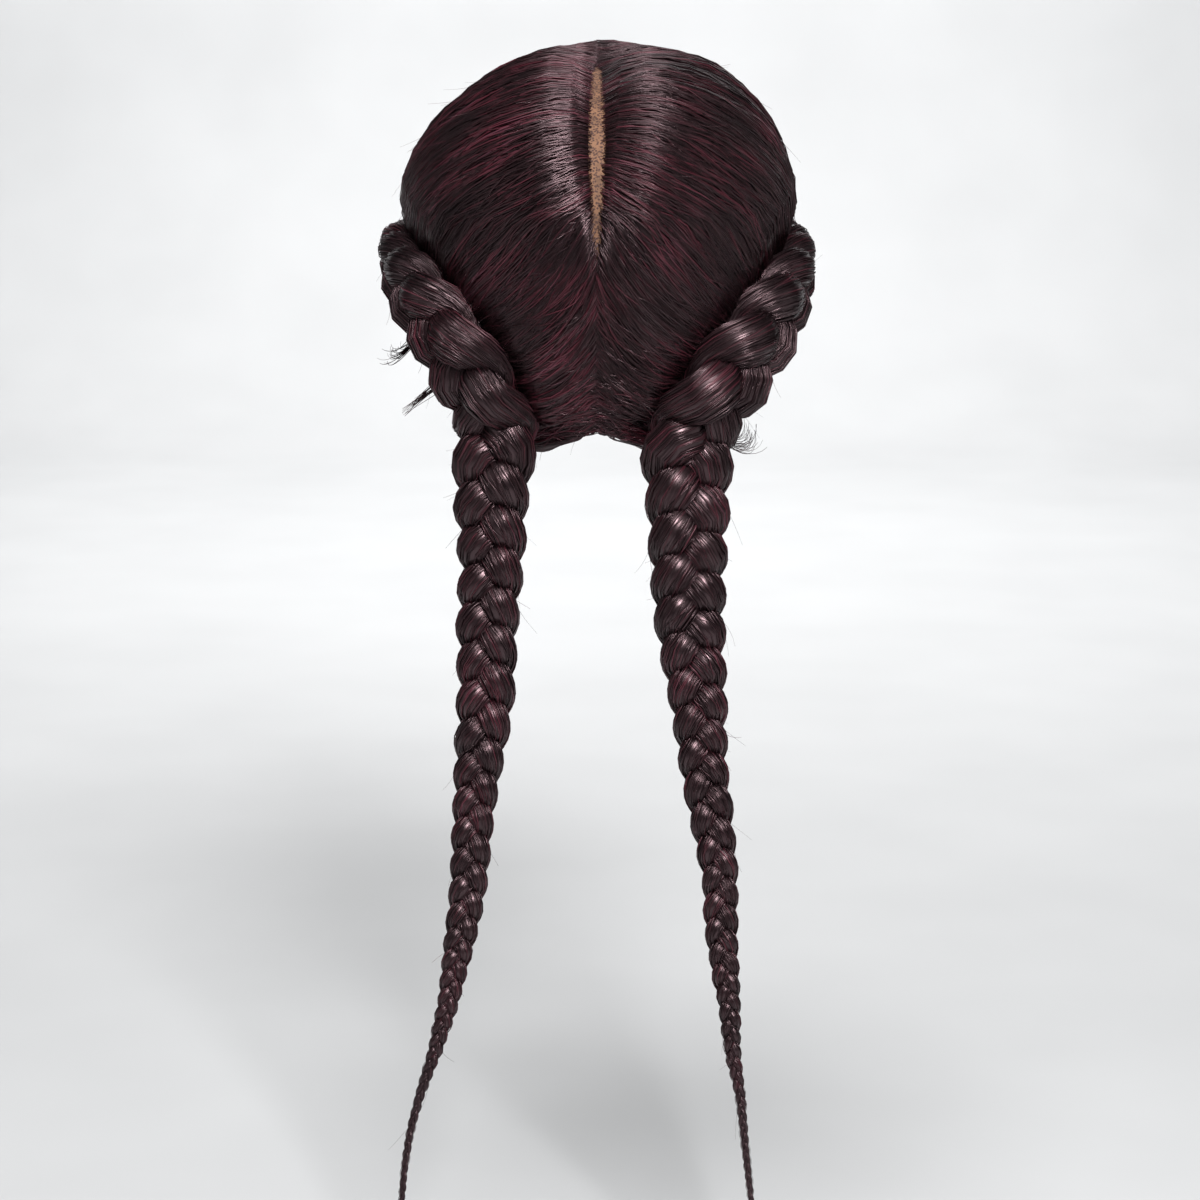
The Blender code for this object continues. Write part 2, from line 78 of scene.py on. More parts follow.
# Depth of the hair over the head form, the bands in which it eases, and the rise before the crown
HAIR_SEAT = 0.0030
MIDDLE_DEPTH = 0.0125
BRAID_SEAT_DEPTH = 0.0085
HEM_DEPTH = 0.0046
THINNEST_HAIR = 0.0006
PARTING_DEPTH = 0.0070
PARTING_BAND = 0.022
HEM_BAND = 0.022
BRAID_BED = 0.008
BRAID_BAND = 0.017
RISE_HEIGHT = 0.0040
RISE_TILT = 19.0
RISE_TILT_SPREAD = 13.0
RISE_HALF_WIDTH = 0.018
SIDE_EASE = 0.5

# Parting: where its lace shows, as tilts in degrees, and how the halves meet where it is closed
FRONT_CLOSES = -54.0
CROWN_OPENS = 6.0
NAPE_CLOSES = 102.0
PARTING_EASE = 11.0
PARTING_LAP = 0.0004
ROOT_SCATTER = 0.0020
ROOT_LAP = 0.0002
LACE_DEPTH = 0.0042
LACE_WALL = 0.0008
LACE_LAP = 0.0022
LACE_FIRST_TILT = -76.0
LACE_ROWS = 120
LACE_COLUMNS = 6

# Cap: the grid of its shell, and the binding along its edge, as shares of the way down from the crown
CAP_COLUMNS = 96
CAP_ROWS = 28
BINDING_DEPTH = 0.0006
BINDING_STARTS = 0.965
BINDING_FULL = 0.985

# Sheets of hair below the loose hairs, each closed all round
UNDER_SINK = 0.0013
UNDER_THICKNESS = 0.0009
UNDER_COLUMNS = 70
UNDER_ROWS = 22
FIRST_TILT = -82.0
LAST_TILT = 129.0
FIRST_TURN = 33.0
LAST_TURN = 145.0

# Loose hairs over the scalp: points on each, the depths that they fill below the hair's surface, and
# how they rise from the lace
SCALP_POINTS = 14
SIDE_POINTS = 10
ROOT_CROWDING = 1.1
HAIR_SPAN = 0.12
DEEPEST_LAYER = 0.0012
TOP_LAYER = 0.0003
ROOT_DEPTH = 0.0037
ROOT_RISE = 0.006
ROOT_SHARE = 0.1
ROOT_SCATTER_POWER = 4

# Girth and colour of those hairs, as shares of the full girth and of the range of colours
ROOT_GIRTH = 0.35
GIRTH_GAIN = 1.3
GIRTH_LEAN = 0.6
SIDE_GIRTH = 0.6
MIDDLE_TINT = 0.5
# Tint of the closed sheets and strand cores below the hairs: the hair's own plum, set darker than the hairs
# on them as painted shade of the deeper hair
SHADED_BODY_TINT = 0.35

# Course of the hair in degrees: the turn at which a braid leaves the hem, and how far the hair that is
# taken up from the hem leans to the back
BRAID_LEAVES_HEM = 32.0
TUCK_LEAN = 5.0

# How the hairs wander sideways in degrees, and how their surface swells and ripples
LOCK_WAVE = 0.6
STRAY_WAVE = 1.3
STRAY_HALF_WAVES = 2.5
WANDER_STARTS = 0.25
SIDE_WANDER = 0.8
LOCK_SWELL = 0.0008
LOCK_RIPPLE = 0.00045
RIPPLES = 2.6

# How the hairs are spaced: the lines that are compared, and the least gap as a share of the mean one
COMPARED_LINES = 90
COMPARED_POINTS = 6
COMPARED_FROM = 0.2
COMPARED_TO = 0.9
LEAST_GAP = 0.25

# Hairs along the hem at the nape: from where to where they run in degrees from the back, how far they
# dip below the edge, and how far they stand off the head form
HEM_POINTS = 36
HEM_STARTS = (-1.0, 16.0)
HEM_ENDS = (30.0, 40.0)
HEM_DROPS = (-0.0040, 0.0036)
HEM_DROP_EASE = 7.0
HEM_SWAY = 0.0010
HEM_SWAY_PITCH = 0.30
HEM_SWAY_STARTS = (0.0, 0.8)
HEM_FILL = (0.4, 1.0)
HEM_EDGE_DEPTH = 0.0012
HEM_STAND = 0.0045
HEM_WRAP = (-0.001, 0.0045)
HEM_GIRTH = 0.5
HEM_TIP = 0.05
HEM_TINTS = (0.35, 0.6)

# Loose hairs that leave the surface: how they curl away from it and sideways
CURL_AWAY = 0.75
CURL_ACROSS = 0.65

# Wisps: where their roots lie, and how the hairs of one wisp differ
WISP_POINTS = 11
WISP_DEPTH = 0.014
WISP_SCATTER = 0.0014
WISP_BACK = 0.1
WISP_CURLS = (0.85, 1.15)
WISP_LENGTHS = (0.6, 1.0)
WISP_GIRTH = 0.75
WISP_TIP = 0.4
WISP_TINT = 0.4

# Stray hairs: how steeply they rise, their lengths, curl, girth and colour
STRAY_POINTS = 7
STRAY_RISE = (0.05, 0.35)
STRAY_SCATTER = 0.12
STRAY_LENGTHS = (0.006, 0.020)
STRAY_CURL = (-0.2, 0.8)
STRAY_GIRTH = 0.30
STRAY_TIP = 0.5
STRAY_TINTS = (0.3, 0.9)

# Streaks in the colour: how far apart they are from hair to hair, and how fast they change along it
HAIR_STREAKS_APART = 900.0
HAIR_STREAKS_ALONG = 35.0
SHEET_STREAKS_ACROSS = 3.0
SHEET_STREAKS_ALONG = 6.0
CORE_STREAKS_ROUND = 4.0
CORE_STREAKS_ALONG = 60.0
CORE_STREAKS_APART = 7.0

# Braids: sizes of the strands as shares of the braid's width, their tips, and their sections
SWING = 0.27
WEAVE = 0.165
EDGE_HALF_WIDTH = 0.235
CROSSING_HALF_WIDTH = 0.275
STRAND_HALF_DEPTH = 0.205
BRAID_HALF_DEPTH = 0.18
LOBE_SWELL = 0.24
LOBE_MIDDLE = math.radians(55.0)
START_TAPER = 0.010
END_TAPER = 0.030
START_SIZE = 0.35
END_SIZE = 0.30
STRANDS = 3
COARSE_SECTIONS = 9
FINE_SECTIONS = 20
COARSE_WIDTH = 0.004
FINE_WIDTH = 0.024

# Detail of the meshes: sides of a strand's core and of a hair, and steps between the rows of a table
BODY_SIDES = 14
HAIR_SIDES = 3
STEPS = 24
SEAM_STEPS = 6

# Seed of the first strand after that of the hair
BRAID_SEED = 10

# Hairs on a strand: how they end where it gets thin, wander round it and lift off its core
CORE_SINK = 0.0002
THINNEST_ROOM = 0.06
END_SECTIONS = (2, 9)
ANGLE_STEP = 0.61803
ANGLE_SCATTER = 0.02
STRAND_TWIST = 0.10
STRAND_WANDER = 0.26
STRAND_WANDER_RATES = (0.5, 1.8)
STRAND_WANDER_STARTS = (0.0, 6.28)
STRAND_LIFT = (-0.00020, 0.00045)
FULL_LIFT_WIDTH = 0.012
STRAND_GIRTH = 0.90
THIN_GIRTH = 0.30
FULL_GIRTH_WIDTH = 0.020
END_GIRTH = 0.35
END_SHARE = 0.02

# Camera, fitted to the photograph
CAMERA_AIM = Vector((-0.0014, 0.0, -0.250))
CAMERA_PITCH = math.radians(12.0)
CAMERA_DISTANCE = 1.5
CAMERA_LENS = 93.75

SIDE_SIGN = {"left": 1.0, "right": -1.0}

Hem = namedtuple("Hem", "turn height")
Parting = namedtuple("Parting", "tilt half_width")
Fullness = namedtuple("Fullness", "tilt left right")
Seam = namedtuple("Seam", "turn height width pitch")
Hang = namedtuple("Hang", "across back height width pitch face_turn")
Comb = namedtuple("Comb", "tilt seam leave hold")
Tuck = namedtuple("Tuck", "turn seam")
Wisp = namedtuple("Wisp", "side turn height count length spread curl sideways")
Wave = namedtuple("Wave", "size pitch ahead start")
BentWave = namedtuple("BentWave", "size pitch bend")
Hair = namedtuple("Hair", "line girth tint")

# Edge of the cap and the hair: turn from the back in degrees, height in metres
HEM = [
    Hem(0, -0.151),
    Hem(9, -0.157),
    Hem(20, -0.161),
    Hem(32, -0.164),
    Hem(46, -0.166),
    Hem(60, -0.161),
    Hem(74, -0.145),
    Hem(88, -0.110),
    Hem(100, -0.104),
    Hem(114, -0.122),
    Hem(130, -0.088),
    Hem(150, -0.062),
    Hem(180, -0.052),
]

# Half of the lace's width along the middle of the head, from the front hairline over the crown
PARTING = [
    Parting(-76, 0.0016),
    Parting(-44, 0.0020),
    Parting(-22, 0.0006),
    Parting(26, 0.0016),
    Parting(42, 0.0026),
    Parting(60, 0.0031),
    Parting(78, 0.0027),
    Parting(93, 0.0016),
    Parting(104, 0.0),
]

# Depth of the hair over each side of the head form, from the crown down
FULLNESS = [
    Fullness(0, 0.0115, 0.0110),
    Fullness(20, 0.0115, 0.0135),
    Fullness(35, 0.0108, 0.0172),
    Fullness(50, 0.0095, 0.0160),
    Fullness(72, 0.0120, 0.0140),
    Fullness(90, 0.0140, 0.0150),
]

# Line on the head that each braid follows, down to the hem: turn, height, width, and pitch as a
# share of the width
TEMPLE = [
    Seam(142, -0.056, 0.015, 0.80),
    Seam(124, -0.069, 0.019, 0.80),
    Seam(104, -0.080, 0.023, 0.80),
]
SEAM = {
    "left": TEMPLE + [
        Seam(82, -0.083, 0.028, 0.76),
        Seam(60, -0.095, 0.035, 0.68),
        Seam(45, -0.112, 0.039, 0.65),
        Seam(37, -0.131, 0.040, 0.62),
        Seam(34, -0.150, 0.038, 0.58),
    ],
    "right": TEMPLE + [
        Seam(82, -0.086, 0.029, 0.76),
        Seam(63, -0.099, 0.037, 0.68),
        Seam(48, -0.116, 0.042, 0.64),
        Seam(37, -0.133, 0.043, 0.60),
        Seam(31, -0.152, 0.042, 0.56),
    ],
}

# Where each braid hangs free: distance to its side and to the back, height, width, pitch as a
# share of the width, and how far its face turns from the back towards its own side in degrees
HANG = {
    "left": [
        Hang(0.0470, 0.079, -0.176, 0.0345, 0.56, 16),
        Hang(0.0474, 0.081, -0.214, 0.0290, 0.62, 14),
        Hang(0.0494, 0.082, -0.243, 0.0275, 0.65, 11),
        Hang(0.0505, 0.086, -0.278, 0.0255, 0.68, 8),
        Hang(0.0538, 0.089, -0.306, 0.0215, 0.72, 6),
        Hang(0.0565, 0.094, -0.333, 0.0180, 0.77, 4),
        Hang(0.0587, 0.099, -0.361, 0.0165, 0.77, 2),
        Hang(0.0611, 0.102, -0.378, 0.0148, 0.76, 0),
        Hang(0.0643, 0.106, -0.395, 0.0122, 0.75, 0),
        Hang(0.0680, 0.110, -0.414, 0.0096, 0.80, 0),
        Hang(0.0745, 0.112, -0.438, 0.0066, 0.95, 0),
        Hang(0.0811, 0.113, -0.458, 0.0046, 1.15, 0),
        Hang(0.0868, 0.115, -0.481, 0.0038, 1.30, 0),
        Hang(0.0899, 0.116, -0.508, 0.0034, 1.30, 0),
        Hang(0.0910, 0.116, -0.530, 0.0030, 1.30, 0),
    ],
    "right": [
        Hang(0.0405, 0.079, -0.176, 0.0385, 0.54, 14),
        Hang(0.0408, 0.081, -0.214, 0.0340, 0.54, 12),
        Hang(0.0420, 0.082, -0.243, 0.0310, 0.57, 7),
        Hang(0.0460, 0.086, -0.278, 0.0255, 0.63, 3),
        Hang(0.0484, 0.089, -0.306, 0.0215, 0.70, 0),
        Hang(0.0525, 0.094, -0.333, 0.0190, 0.78, 0),
        Hang(0.0560, 0.098, -0.357, 0.0160, 0.80, 0),
        Hang(0.0566, 0.102, -0.378, 0.0147, 0.78, 0),
        Hang(0.0580, 0.106, -0.395, 0.0130, 0.75, 0),
        Hang(0.0603, 0.110, -0.414, 0.0102, 0.80, 0),
        Hang(0.0622, 0.112, -0.438, 0.0074, 0.95, 0),
        Hang(0.0656, 0.113, -0.458, 0.0050, 1.15, 0),
        Hang(0.0680, 0.115, -0.481, 0.0040, 1.30, 0),
        Hang(0.0710, 0.116, -0.508, 0.0034, 1.30, 0),
        Hang(0.0725, 0.116, -0.528, 0.0030, 1.30, 0),
    ],
}

# How the hair is combed: the place on the parting, the share of the braid's line that it reaches,
# the angle below sideways at which it leaves, and how long it keeps that course as a share of its way
COMB = [
    Comb(-82, 0.00, 5, 0.35),
    Comb(-60, 0.05, 5, 0.45),
    Comb(-30, 0.12, 0, 0.55),
    Comb(0, 0.19, 0, 0.60),
    Comb(26, 0.28, 0, 0.60),
    Comb(45, 0.41, 8, 0.50),
    Comb(60, 0.56, 22, 0.45),
    Comb(78, 0.68, 40, 0.42),
    Comb(93, 0.76, 52, 0.42),
    Comb(101, 0.81, 56, 0.42),
    Comb(111, 0.87, 42, 0.40),
    Comb(123, 0.95, 15, 0.40),
    Comb(129, 1.00, 8, 0.40),
]

# Hair below a braid: the place on the hem that it comes from and the share of the braid's line that
# it reaches
TUCK = [
    Tuck(34, 0.98),
    Tuck(46, 0.82),
    Tuck(60, 0.68),
    Tuck(74, 0.56),
    Tuck(88, 0.45),
    Tuck(100, 0.37),
    Tuck(114, 0.26),
    Tuck(130, 0.11),
    Tuck(144, 0.01),
]

# Loose wisps below the ears: where they start, how many hairs, and their length, spread and curl
WISPS = [
    Wisp("left", 68, -0.112, 26, 0.032, 0.0020, 2.3, 0.5),
    Wisp("left", 54, -0.130, 30, 0.026, 0.0009, 0.3, 1.3),
    Wisp("right", 44, -0.148, 30, 0.032, 0.0018, 2.8, 0.1),
]

# Waves over the head: size, pitch from hair to hair, change along the hair, and start. They are uneven
# on purpose, so that no two locks look the same.
WANDERS = [Wave(1.0, 0.9, 3.1, 0.0), Wave(0.6, 2.3, -5.2, 1.0)]
RIPPLE_STARTS = [Wave(5.0, 0.9, 0.0, 0.0), Wave(3.0, 2.7, 0.0, 1.0)]
SWELLS = [BentWave(1.0, 0.55, Wave(1.6, 0.17, 2.0, 0.0)), BentWave(0.55, 1.9, Wave(2.2, 0.43, -3.0, 0.0))]
SCALP_TINTS = [BentWave(0.04, 0.8, Wave(2.0, 0.27, 0.0, 0.0))]
SIDE_TINTS = [Wave(0.10, 1.1, 0.0, 0.0)]


def smooth_step(value, low, high):
    """Ease from 0 at low to 1 at high."""
    share = np.clip((np.asarray(value, float) - low) / (high - low), 0.0, 1.0)
    return share * share * (3.0 - 2.0 * share)


def unit(vectors):
    """Vectors of length 1 along the last axis."""
    vectors = np.asarray(vectors, float)
    return vectors / np.linalg.norm(vectors, axis=-1, keepdims=True)


def dot(first, second):
    """Dot products along the last axis, kept as a column."""
    return np.sum(first * second, axis=-1, keepdims=True)


def directions_at(tilts, turns):
    """Unit directions for tilts from the crown and turns from the back, in degrees."""
    tilts, turns = np.broadcast_arrays(np.radians(tilts), np.radians(turns))
    return np.stack([np.sin(tilts) * np.sin(turns), np.sin(tilts) * np.cos(turns), np.cos(tilts)], axis=-1)


def radii(directions):
    """Half sizes of the head form on the side that each direction points to."""
    lengthwise = np.where(directions[..., 1] > 0.0, HEAD_BACK, HEAD_FRONT)
    upright = np.where(directions[..., 2] > 0.0, HEAD_RISE, HEAD_DROP)
    return np.stack([np.full_like(lengthwise, HEAD_HALF_WIDTH), lengthwise, upright], axis=-1)


def head_point(directions, offset=0.0):
    """Points at an offset outside the head form."""
    sizes = radii(directions)
    return HEAD_CENTRE + sizes * directions + unit(directions / sizes) * np.asarray(offset, float)[..., None]


def head_outward(directions):
    """Outward normals of the head form."""
    return unit(directions / radii(directions))


def directions_at_heights(turns, heights):
    """Directions whose points on the head form have the given turns and heights."""
    drop = np.asarray(heights, float) + HEAD_RISE
    upright = np.where(drop > 0.0, HEAD_RISE, HEAD_DROP)
    return directions_at(np.degrees(np.arccos(np.clip(drop / upright, -1.0, 1.0))), turns)


def table_column(rows, key, places, column):
    """Column of a table at given places of its key column."""
    return np.interp(places, [getattr(row, key) for row in rows], [getattr(row, column) for row in rows])


def hem_heights(turns):
    """Heights of the cap's edge at turns from the back."""
    return table_column(HEM, "turn", np.abs(turns), "height")


def smooth_hem(turns):
    """Heights of the hair's rounded edge at turns from the back."""
    dense = smooth_rows(HEM, STEPS)
    return np.interp(np.abs(turns), dense[:, 0], dense[:, 1])


def parting_open(tilts):
    """How far the parting is open, from 0 to 1: at the front hairline, and behind the crown."""
    front = 1.0 - smooth_step(tilts, FRONT_CLOSES, FRONT_CLOSES + PARTING_EASE)
    behind = smooth_step(tilts, CROWN_OPENS, CROWN_OPENS + PARTING_EASE)
    return front + behind * (1.0 - smooth_step(tilts, NAPE_CLOSES - PARTING_EASE, NAPE_CLOSES))


def parting_half_widths(tilts):
    """Half of the gap between the two halves of hair, below 0 where they lap."""
    gap = table_column(PARTING, "tilt", tilts, "half_width")
    return (gap + PARTING_LAP) * parting_open(tilts) - PARTING_LAP


def smooth_rows(rows, steps):
    """Catmull-Rom curve through the rows of a table, column by column."""
    rows = np.asarray(rows, float)
    padded = np.vstack([2.0 * rows[0] - rows[1], rows, 2.0 * rows[-1] - rows[-2]])
    shares = (np.arange(steps) / steps)[:, None]
    out = []
    for index in range(len(rows) - 1):
        before, start, end, after = padded[index:index + 4]
        out.append(0.5 * (
            2.0 * start
            + (end - before) * shares
            + (2.0 * before - 5.0 * start + 4.0 * end - after) * shares ** 2
            + (3.0 * start - before - 3.0 * end + after) * shares ** 3
        ))
    return np.vstack(out + [rows[-1:]])


def seam_feet(side):
    """Points on the head form under the braid of one side."""
    rows = smooth_rows(SEAM[side], SEAM_STEPS)
    return head_point(directions_at_heights(rows[:, 0] * SIDE_SIGN[side], rows[:, 1]))


def hair_depth(directions, side, feet):
    """Depth of the hair over the head form."""
    shape = directions.shape[:-1]
    directions = directions.reshape(-1, 3)
    points = head_point(directions)
    turns = np.degrees(np.arctan2(directions[:, 0], directions[:, 1]))
    tilts = np.degrees(np.arccos(np.clip(directions[:, 2], -1.0, 1.0)))

    sideways = np.abs(np.sin(np.radians(turns))) ** SIDE_EASE
    full = table_column(FULLNESS, "tilt", tilts, side)
    depth = MIDDLE_DEPTH + (full - MIDDLE_DEPTH) * sideways
    before_crown = np.exp(-((tilts - RISE_TILT) / RISE_TILT_SPREAD) ** 2) * (directions[:, 1] < 0.0)
    depth = depth + RISE_HEIGHT * before_crown * np.exp(-(points[:, 0] / RISE_HALF_WIDTH) ** 2)

    spans = np.linalg.norm(points[:, None, :] - feet[None, :, :], axis=2)
    span = spans.min(axis=1)
    above = points[:, 2] > feet[spans.argmin(axis=1), 2]
    rise = smooth_step(span, BRAID_BED, BRAID_BED + BRAID_BAND)
    depth = np.where(above, BRAID_SEAT_DEPTH + (depth - BRAID_SEAT_DEPTH) * rise, BRAID_SEAT_DEPTH)

    over_hem = smooth_step(points[:, 2] - hem_heights(turns), 0.0, HEM_BAND)
    depth = HEM_DEPTH + (depth - HEM_DEPTH) * over_hem

    groove = PARTING_DEPTH + (depth - PARTING_DEPTH) * before_crown
    beside_parting = smooth_step(np.abs(points[:, 0]), 0.0, PARTING_BAND)
    return np.minimum(depth, groove + (depth - groove) * beside_parting).reshape(shape)


def parting_directions(side, tilts, inset):
    """Directions along one edge of the parting, or inset from it towards the middle."""
    start = directions_at(tilts, 0.0)
    start[..., 0] = SIDE_SIGN[side] * (parting_half_widths(tilts) - inset) / HEAD_HALF_WIDTH
    return unit(start)


def seam_directions(side, shares):
    """Directions at shares of the line that the braid follows, from the temple down to the hem."""
    hem_height = float(hem_heights(BRAID_LEAVES_HEM))
    rows = SEAM[side] + [SEAM[side][-1]._replace(turn=BRAID_LEAVES_HEM, height=hem_height)]
    dense = smooth_rows(rows, STEPS)
    path = directions_at_heights(dense[:, 0] * SIDE_SIGN[side], dense[:, 1])
    steps = np.linalg.norm(np.diff(head_point(path), axis=0), axis=1)
    run = np.concatenate([[0.0], np.cumsum(steps)]) / steps.sum()
    return unit(np.stack([np.interp(shares, run, part) for part in path.T], axis=-1))


def bend(start, middle, end, shares):
    """Directions on curves that leave a start, lean towards a middle and reach an end."""
    shares = shares[..., None]
    return unit((1.0 - shares) ** 2 * start + 2.0 * shares * (1.0 - shares) * middle + shares ** 2 * end)


def combed_directions(side, tilts, shares, inset=0.0):
    """Directions of hair combed from places on the parting into the braid."""
    table = smooth_rows(COMB, STEPS)
    seam, leave, hold = [np.interp(tilts, table[:, 0], table[:, column]) for column in (1, 2, 3)]
    start = parting_directions(side, tilts, inset)
    end = seam_directions(side, seam)
    down = directions_at(tilts + 90.0, 0.0)
    outward = np.zeros_like(down)
    outward[..., 0] = SIDE_SIGN[side]
    leave = np.radians(leave)[..., None]
    course = outward * np.cos(leave) + down * np.sin(leave)
    span = np.linalg.norm(end - start, axis=-1, keepdims=True)
    return bend(start, start + course * span * hold[..., None], end, shares)


def tucked_directions(side, turns, shares):
    """Directions of hair taken up from places on the hem into the braid."""
    seam = table_column(TUCK, "turn", turns, "seam")
    start = directions_at_heights(turns * SIDE_SIGN[side], hem_heights(turns))
    end = seam_directions(side, seam)
    halfway = 0.5 * (hem_heights(turns) + end[..., 2] * HEAD_DROP - HEAD_RISE)
    back = directions_at_heights((turns - TUCK_LEAN) * SIDE_SIGN[side], halfway)
    return bend(start, back, end, shares)


def waves(rows, places, shares):
    """Sum of waves from hair to hair and along the hairs."""
    return sum(row.size * np.sin(places * row.pitch + shares * row.ahead + row.start) for row in rows)


def bent_waves(rows, places, shares):
    """Sum of waves whose rhythm is bent by slower ones."""
    return sum(row.size * np.sin(places * row.pitch + waves([row.bend], places, shares)) for row in rows)


def lock_waves(places, shares, rng, size):
    """Sideways wander of hairs: what a lock shares, and what each hair adds."""
    own = rng.normal(0.0, 1.0, places.shape[:1] + (1,))
    turn = rng.uniform(0.0, 2.0 * math.pi, places.shape[:1] + (1,))
    stray = own * np.sin(STRAY_HALF_WAVES * math.pi * shares + turn)
    wander = LOCK_WAVE * waves(WANDERS, places, shares) + STRAY_WAVE * stray
    return size * smooth_step(shares, 0.0, WANDER_STARTS) * wander


def even_places(first, last, count, rng, lines_at):
    """Places between two ends whose lines lie about evenly apart on the head."""
    coarse = np.linspace(first, last, COMPARED_LINES)
    shares = np.linspace(COMPARED_FROM, COMPARED_TO, COMPARED_POINTS)
    places, shares = np.meshgrid(coarse, shares, indexing="ij")
    gaps = np.linalg.norm(np.diff(head_point(lines_at(places, shares)), axis=0), axis=2).mean(axis=1)
    run = np.concatenate([[0.0], np.cumsum(gaps + LEAST_GAP * gaps.mean())])
    steps = (np.arange(count) + rng.uniform(0.0, 1.0, count)) / count
    return np.interp(steps * run[-1], run, coarse)


def lock_swell(places, shares):
    """Rise and fall of the hair's surface from lock to lock."""
    return LOCK_SWELL * bent_waves(SWELLS, places, shares) * np.sin(math.pi * shares)


def lock_ripple(places, shares):
    """Ripples along the hairs, in step within a lock, which break the shine into streaks."""
    return LOCK_RIPPLE * np.sin(2.0 * math.pi * RIPPLES * shares + waves(RIPPLE_STARTS, places, shares))


def combed_depth(side, feet, places, shares, directions):
    """Depth of the combed hair's surface, which starts at the lace where the parting is open."""
    surface = hair_depth(directions, side, feet) + lock_swell(places, shares)
    at_root = 1.0 - smooth_step(shares * HAIR_SPAN, 0.0, ROOT_RISE)
    return surface + (ROOT_DEPTH - surface) * at_root * parting_open(places)


def scalp_hairs(side, count, rng, feet):
    """Loose hairs from the parting to the braid."""
    shares = np.linspace(0.0, 1.0, SCALP_POINTS) ** ROOT_CROWDING
    shares = np.broadcast_to(shares, (count, SCALP_POINTS))
    tilts = even_places(FIRST_TILT, LAST_TILT, count, rng, partial(combed_directions, side))
    tilts = np.repeat(tilts[:, None], SCALP_POINTS, axis=1)
    places = np.clip(tilts + lock_waves(tilts, shares, rng, 1.0), FIRST_TILT, LAST_TILT)
    inset = ROOT_SCATTER * rng.uniform(0.0, 1.0, (count, 1)) ** ROOT_SCATTER_POWER - ROOT_LAP
    directions = combed_directions(side, places, shares, inset)
    layer = rng.uniform(-DEEPEST_LAYER, TOP_LAYER, (count, 1)) + lock_ripple(tilts, shares)
    layer = layer * (1.0 - parting_open(tilts) * (1.0 - smooth_step(shares, 0.0, ROOT_SHARE)))
    depth = np.maximum(combed_depth(side, feet, places, shares, directions) + layer, HAIR_SEAT)
    girths = np.clip(ROOT_GIRTH + GIRTH_GAIN * np.sin(math.pi * shares ** GIRTH_LEAN), ROOT_GIRTH, 1.0)
    tints = MIDDLE_TINT + bent_waves(SCALP_TINTS, tilts, shares)
    return [Hair(*parts) for parts in zip(head_point(directions, depth), girths, tints)]


def side_hairs(side, count, rng, feet):
    """Loose hairs from the hem up into the braid."""
    shares = np.broadcast_to(np.linspace(0.0, 1.0, SIDE_POINTS), (count, SIDE_POINTS))
    turns = even_places(FIRST_TURN, LAST_TURN, count, rng, partial(tucked_directions, side))
    turns = np.repeat(turns[:, None], SIDE_POINTS, axis=1)
    places = np.clip(turns + lock_waves(turns, shares, rng, SIDE_WANDER), FIRST_TURN, LAST_TURN)
    directions = tucked_directions(side, places, shares)
    depth = hair_depth(directions, side, feet) + rng.uniform(-DEEPEST_LAYER, TOP_LAYER, (count, 1))
    depth = np.maximum(depth, HAIR_SEAT + THINNEST_HAIR)
    girths = SIDE_GIRTH + (1.0 - SIDE_GIRTH) * np.sin(math.pi * shares)
    tints = MIDDLE_TINT + waves(SIDE_TINTS, turns, shares)
    return [Hair(*parts) for parts in zip(head_point(directions, depth), girths, tints)]


def hem_hairs(side, count, rng):
    """Hairs that lie along the hem at the nape and wrap the edge of the cap."""
    hairs = []
    ahead = np.linspace(HEM_TIP, 1.0 - HEM_TIP, HEM_POINTS)
    girths = HEM_GIRTH + (1.0 - HEM_GIRTH) * np.sin(math.pi * ahead)
    for _ in range(count):
        first = rng.uniform(*HEM_STARTS)
        turns = np.linspace(first, rng.uniform(*HEM_ENDS), HEM_POINTS)
        drop = rng.uniform(*HEM_DROPS)
        drop = drop + HEM_SWAY * np.sin(turns * HEM_SWAY_PITCH + rng.uniform(*HEM_SWAY_STARTS))
        heights = smooth_hem(turns) - drop * smooth_step(turns, first, first + HEM_DROP_EASE)
        stand = HEM_STAND * rng.uniform(*HEM_FILL)
        depth = HEM_EDGE_DEPTH + stand * (1.0 - smooth_step(drop, *HEM_WRAP))
        line = head_point(directions_at_heights(turns * SIDE_SIGN[side], heights), depth)
        hairs.append(Hair(line, girths, np.full(HEM_POINTS, rng.uniform(*HEM_TINTS))))
    return hairs


def loose_line(start, away, along, length, curl, points):
    """Line of a loose hair that leaves a surface and curls."""
    across = np.cross(away, along)
    line = [start]
    for step in range(1, points):
        angle = curl * step / (points - 1)
        heading = along * math.cos(angle) + (CURL_AWAY * away + CURL_ACROSS * across) * math.sin(angle)
        line.append(line[-1] + heading * length / (points - 1))
    return np.array(line)


def wisp_hairs(side, rng):
    """Hairs of the wisps that hang loose below one ear."""
    hairs = []
    apart = np.linspace(0.0, 1.0, WISP_POINTS)[:, None]
    girth = WISP_GIRTH * np.linspace(1.0, WISP_TIP, WISP_POINTS)
    for wisp in [row for row in WISPS if row.side == side]:
        at = directions_at_heights(wisp.turn * SIDE_SIGN[side], wisp.height)
        heading = unit(np.array([wisp.sideways * SIDE_SIGN[side], WISP_BACK, -1.0]))
        for _ in range(wisp.count):
            start = head_point(at, WISP_DEPTH) + rng.normal(0.0, WISP_SCATTER, 3)
            curl = wisp.curl * rng.uniform(*WISP_CURLS)
            length = wisp.length * rng.uniform(*WISP_LENGTHS)
            line = loose_line(start, head_outward(at), heading, length, curl, WISP_POINTS)
            line = line + (head_point(at, WISP_DEPTH) - start) * apart
            line = line + rng.normal(0.0, wisp.spread, 3) * apart
            hairs.append(Hair(line, girth, np.full(WISP_POINTS, WISP_TINT)))
    return hairs


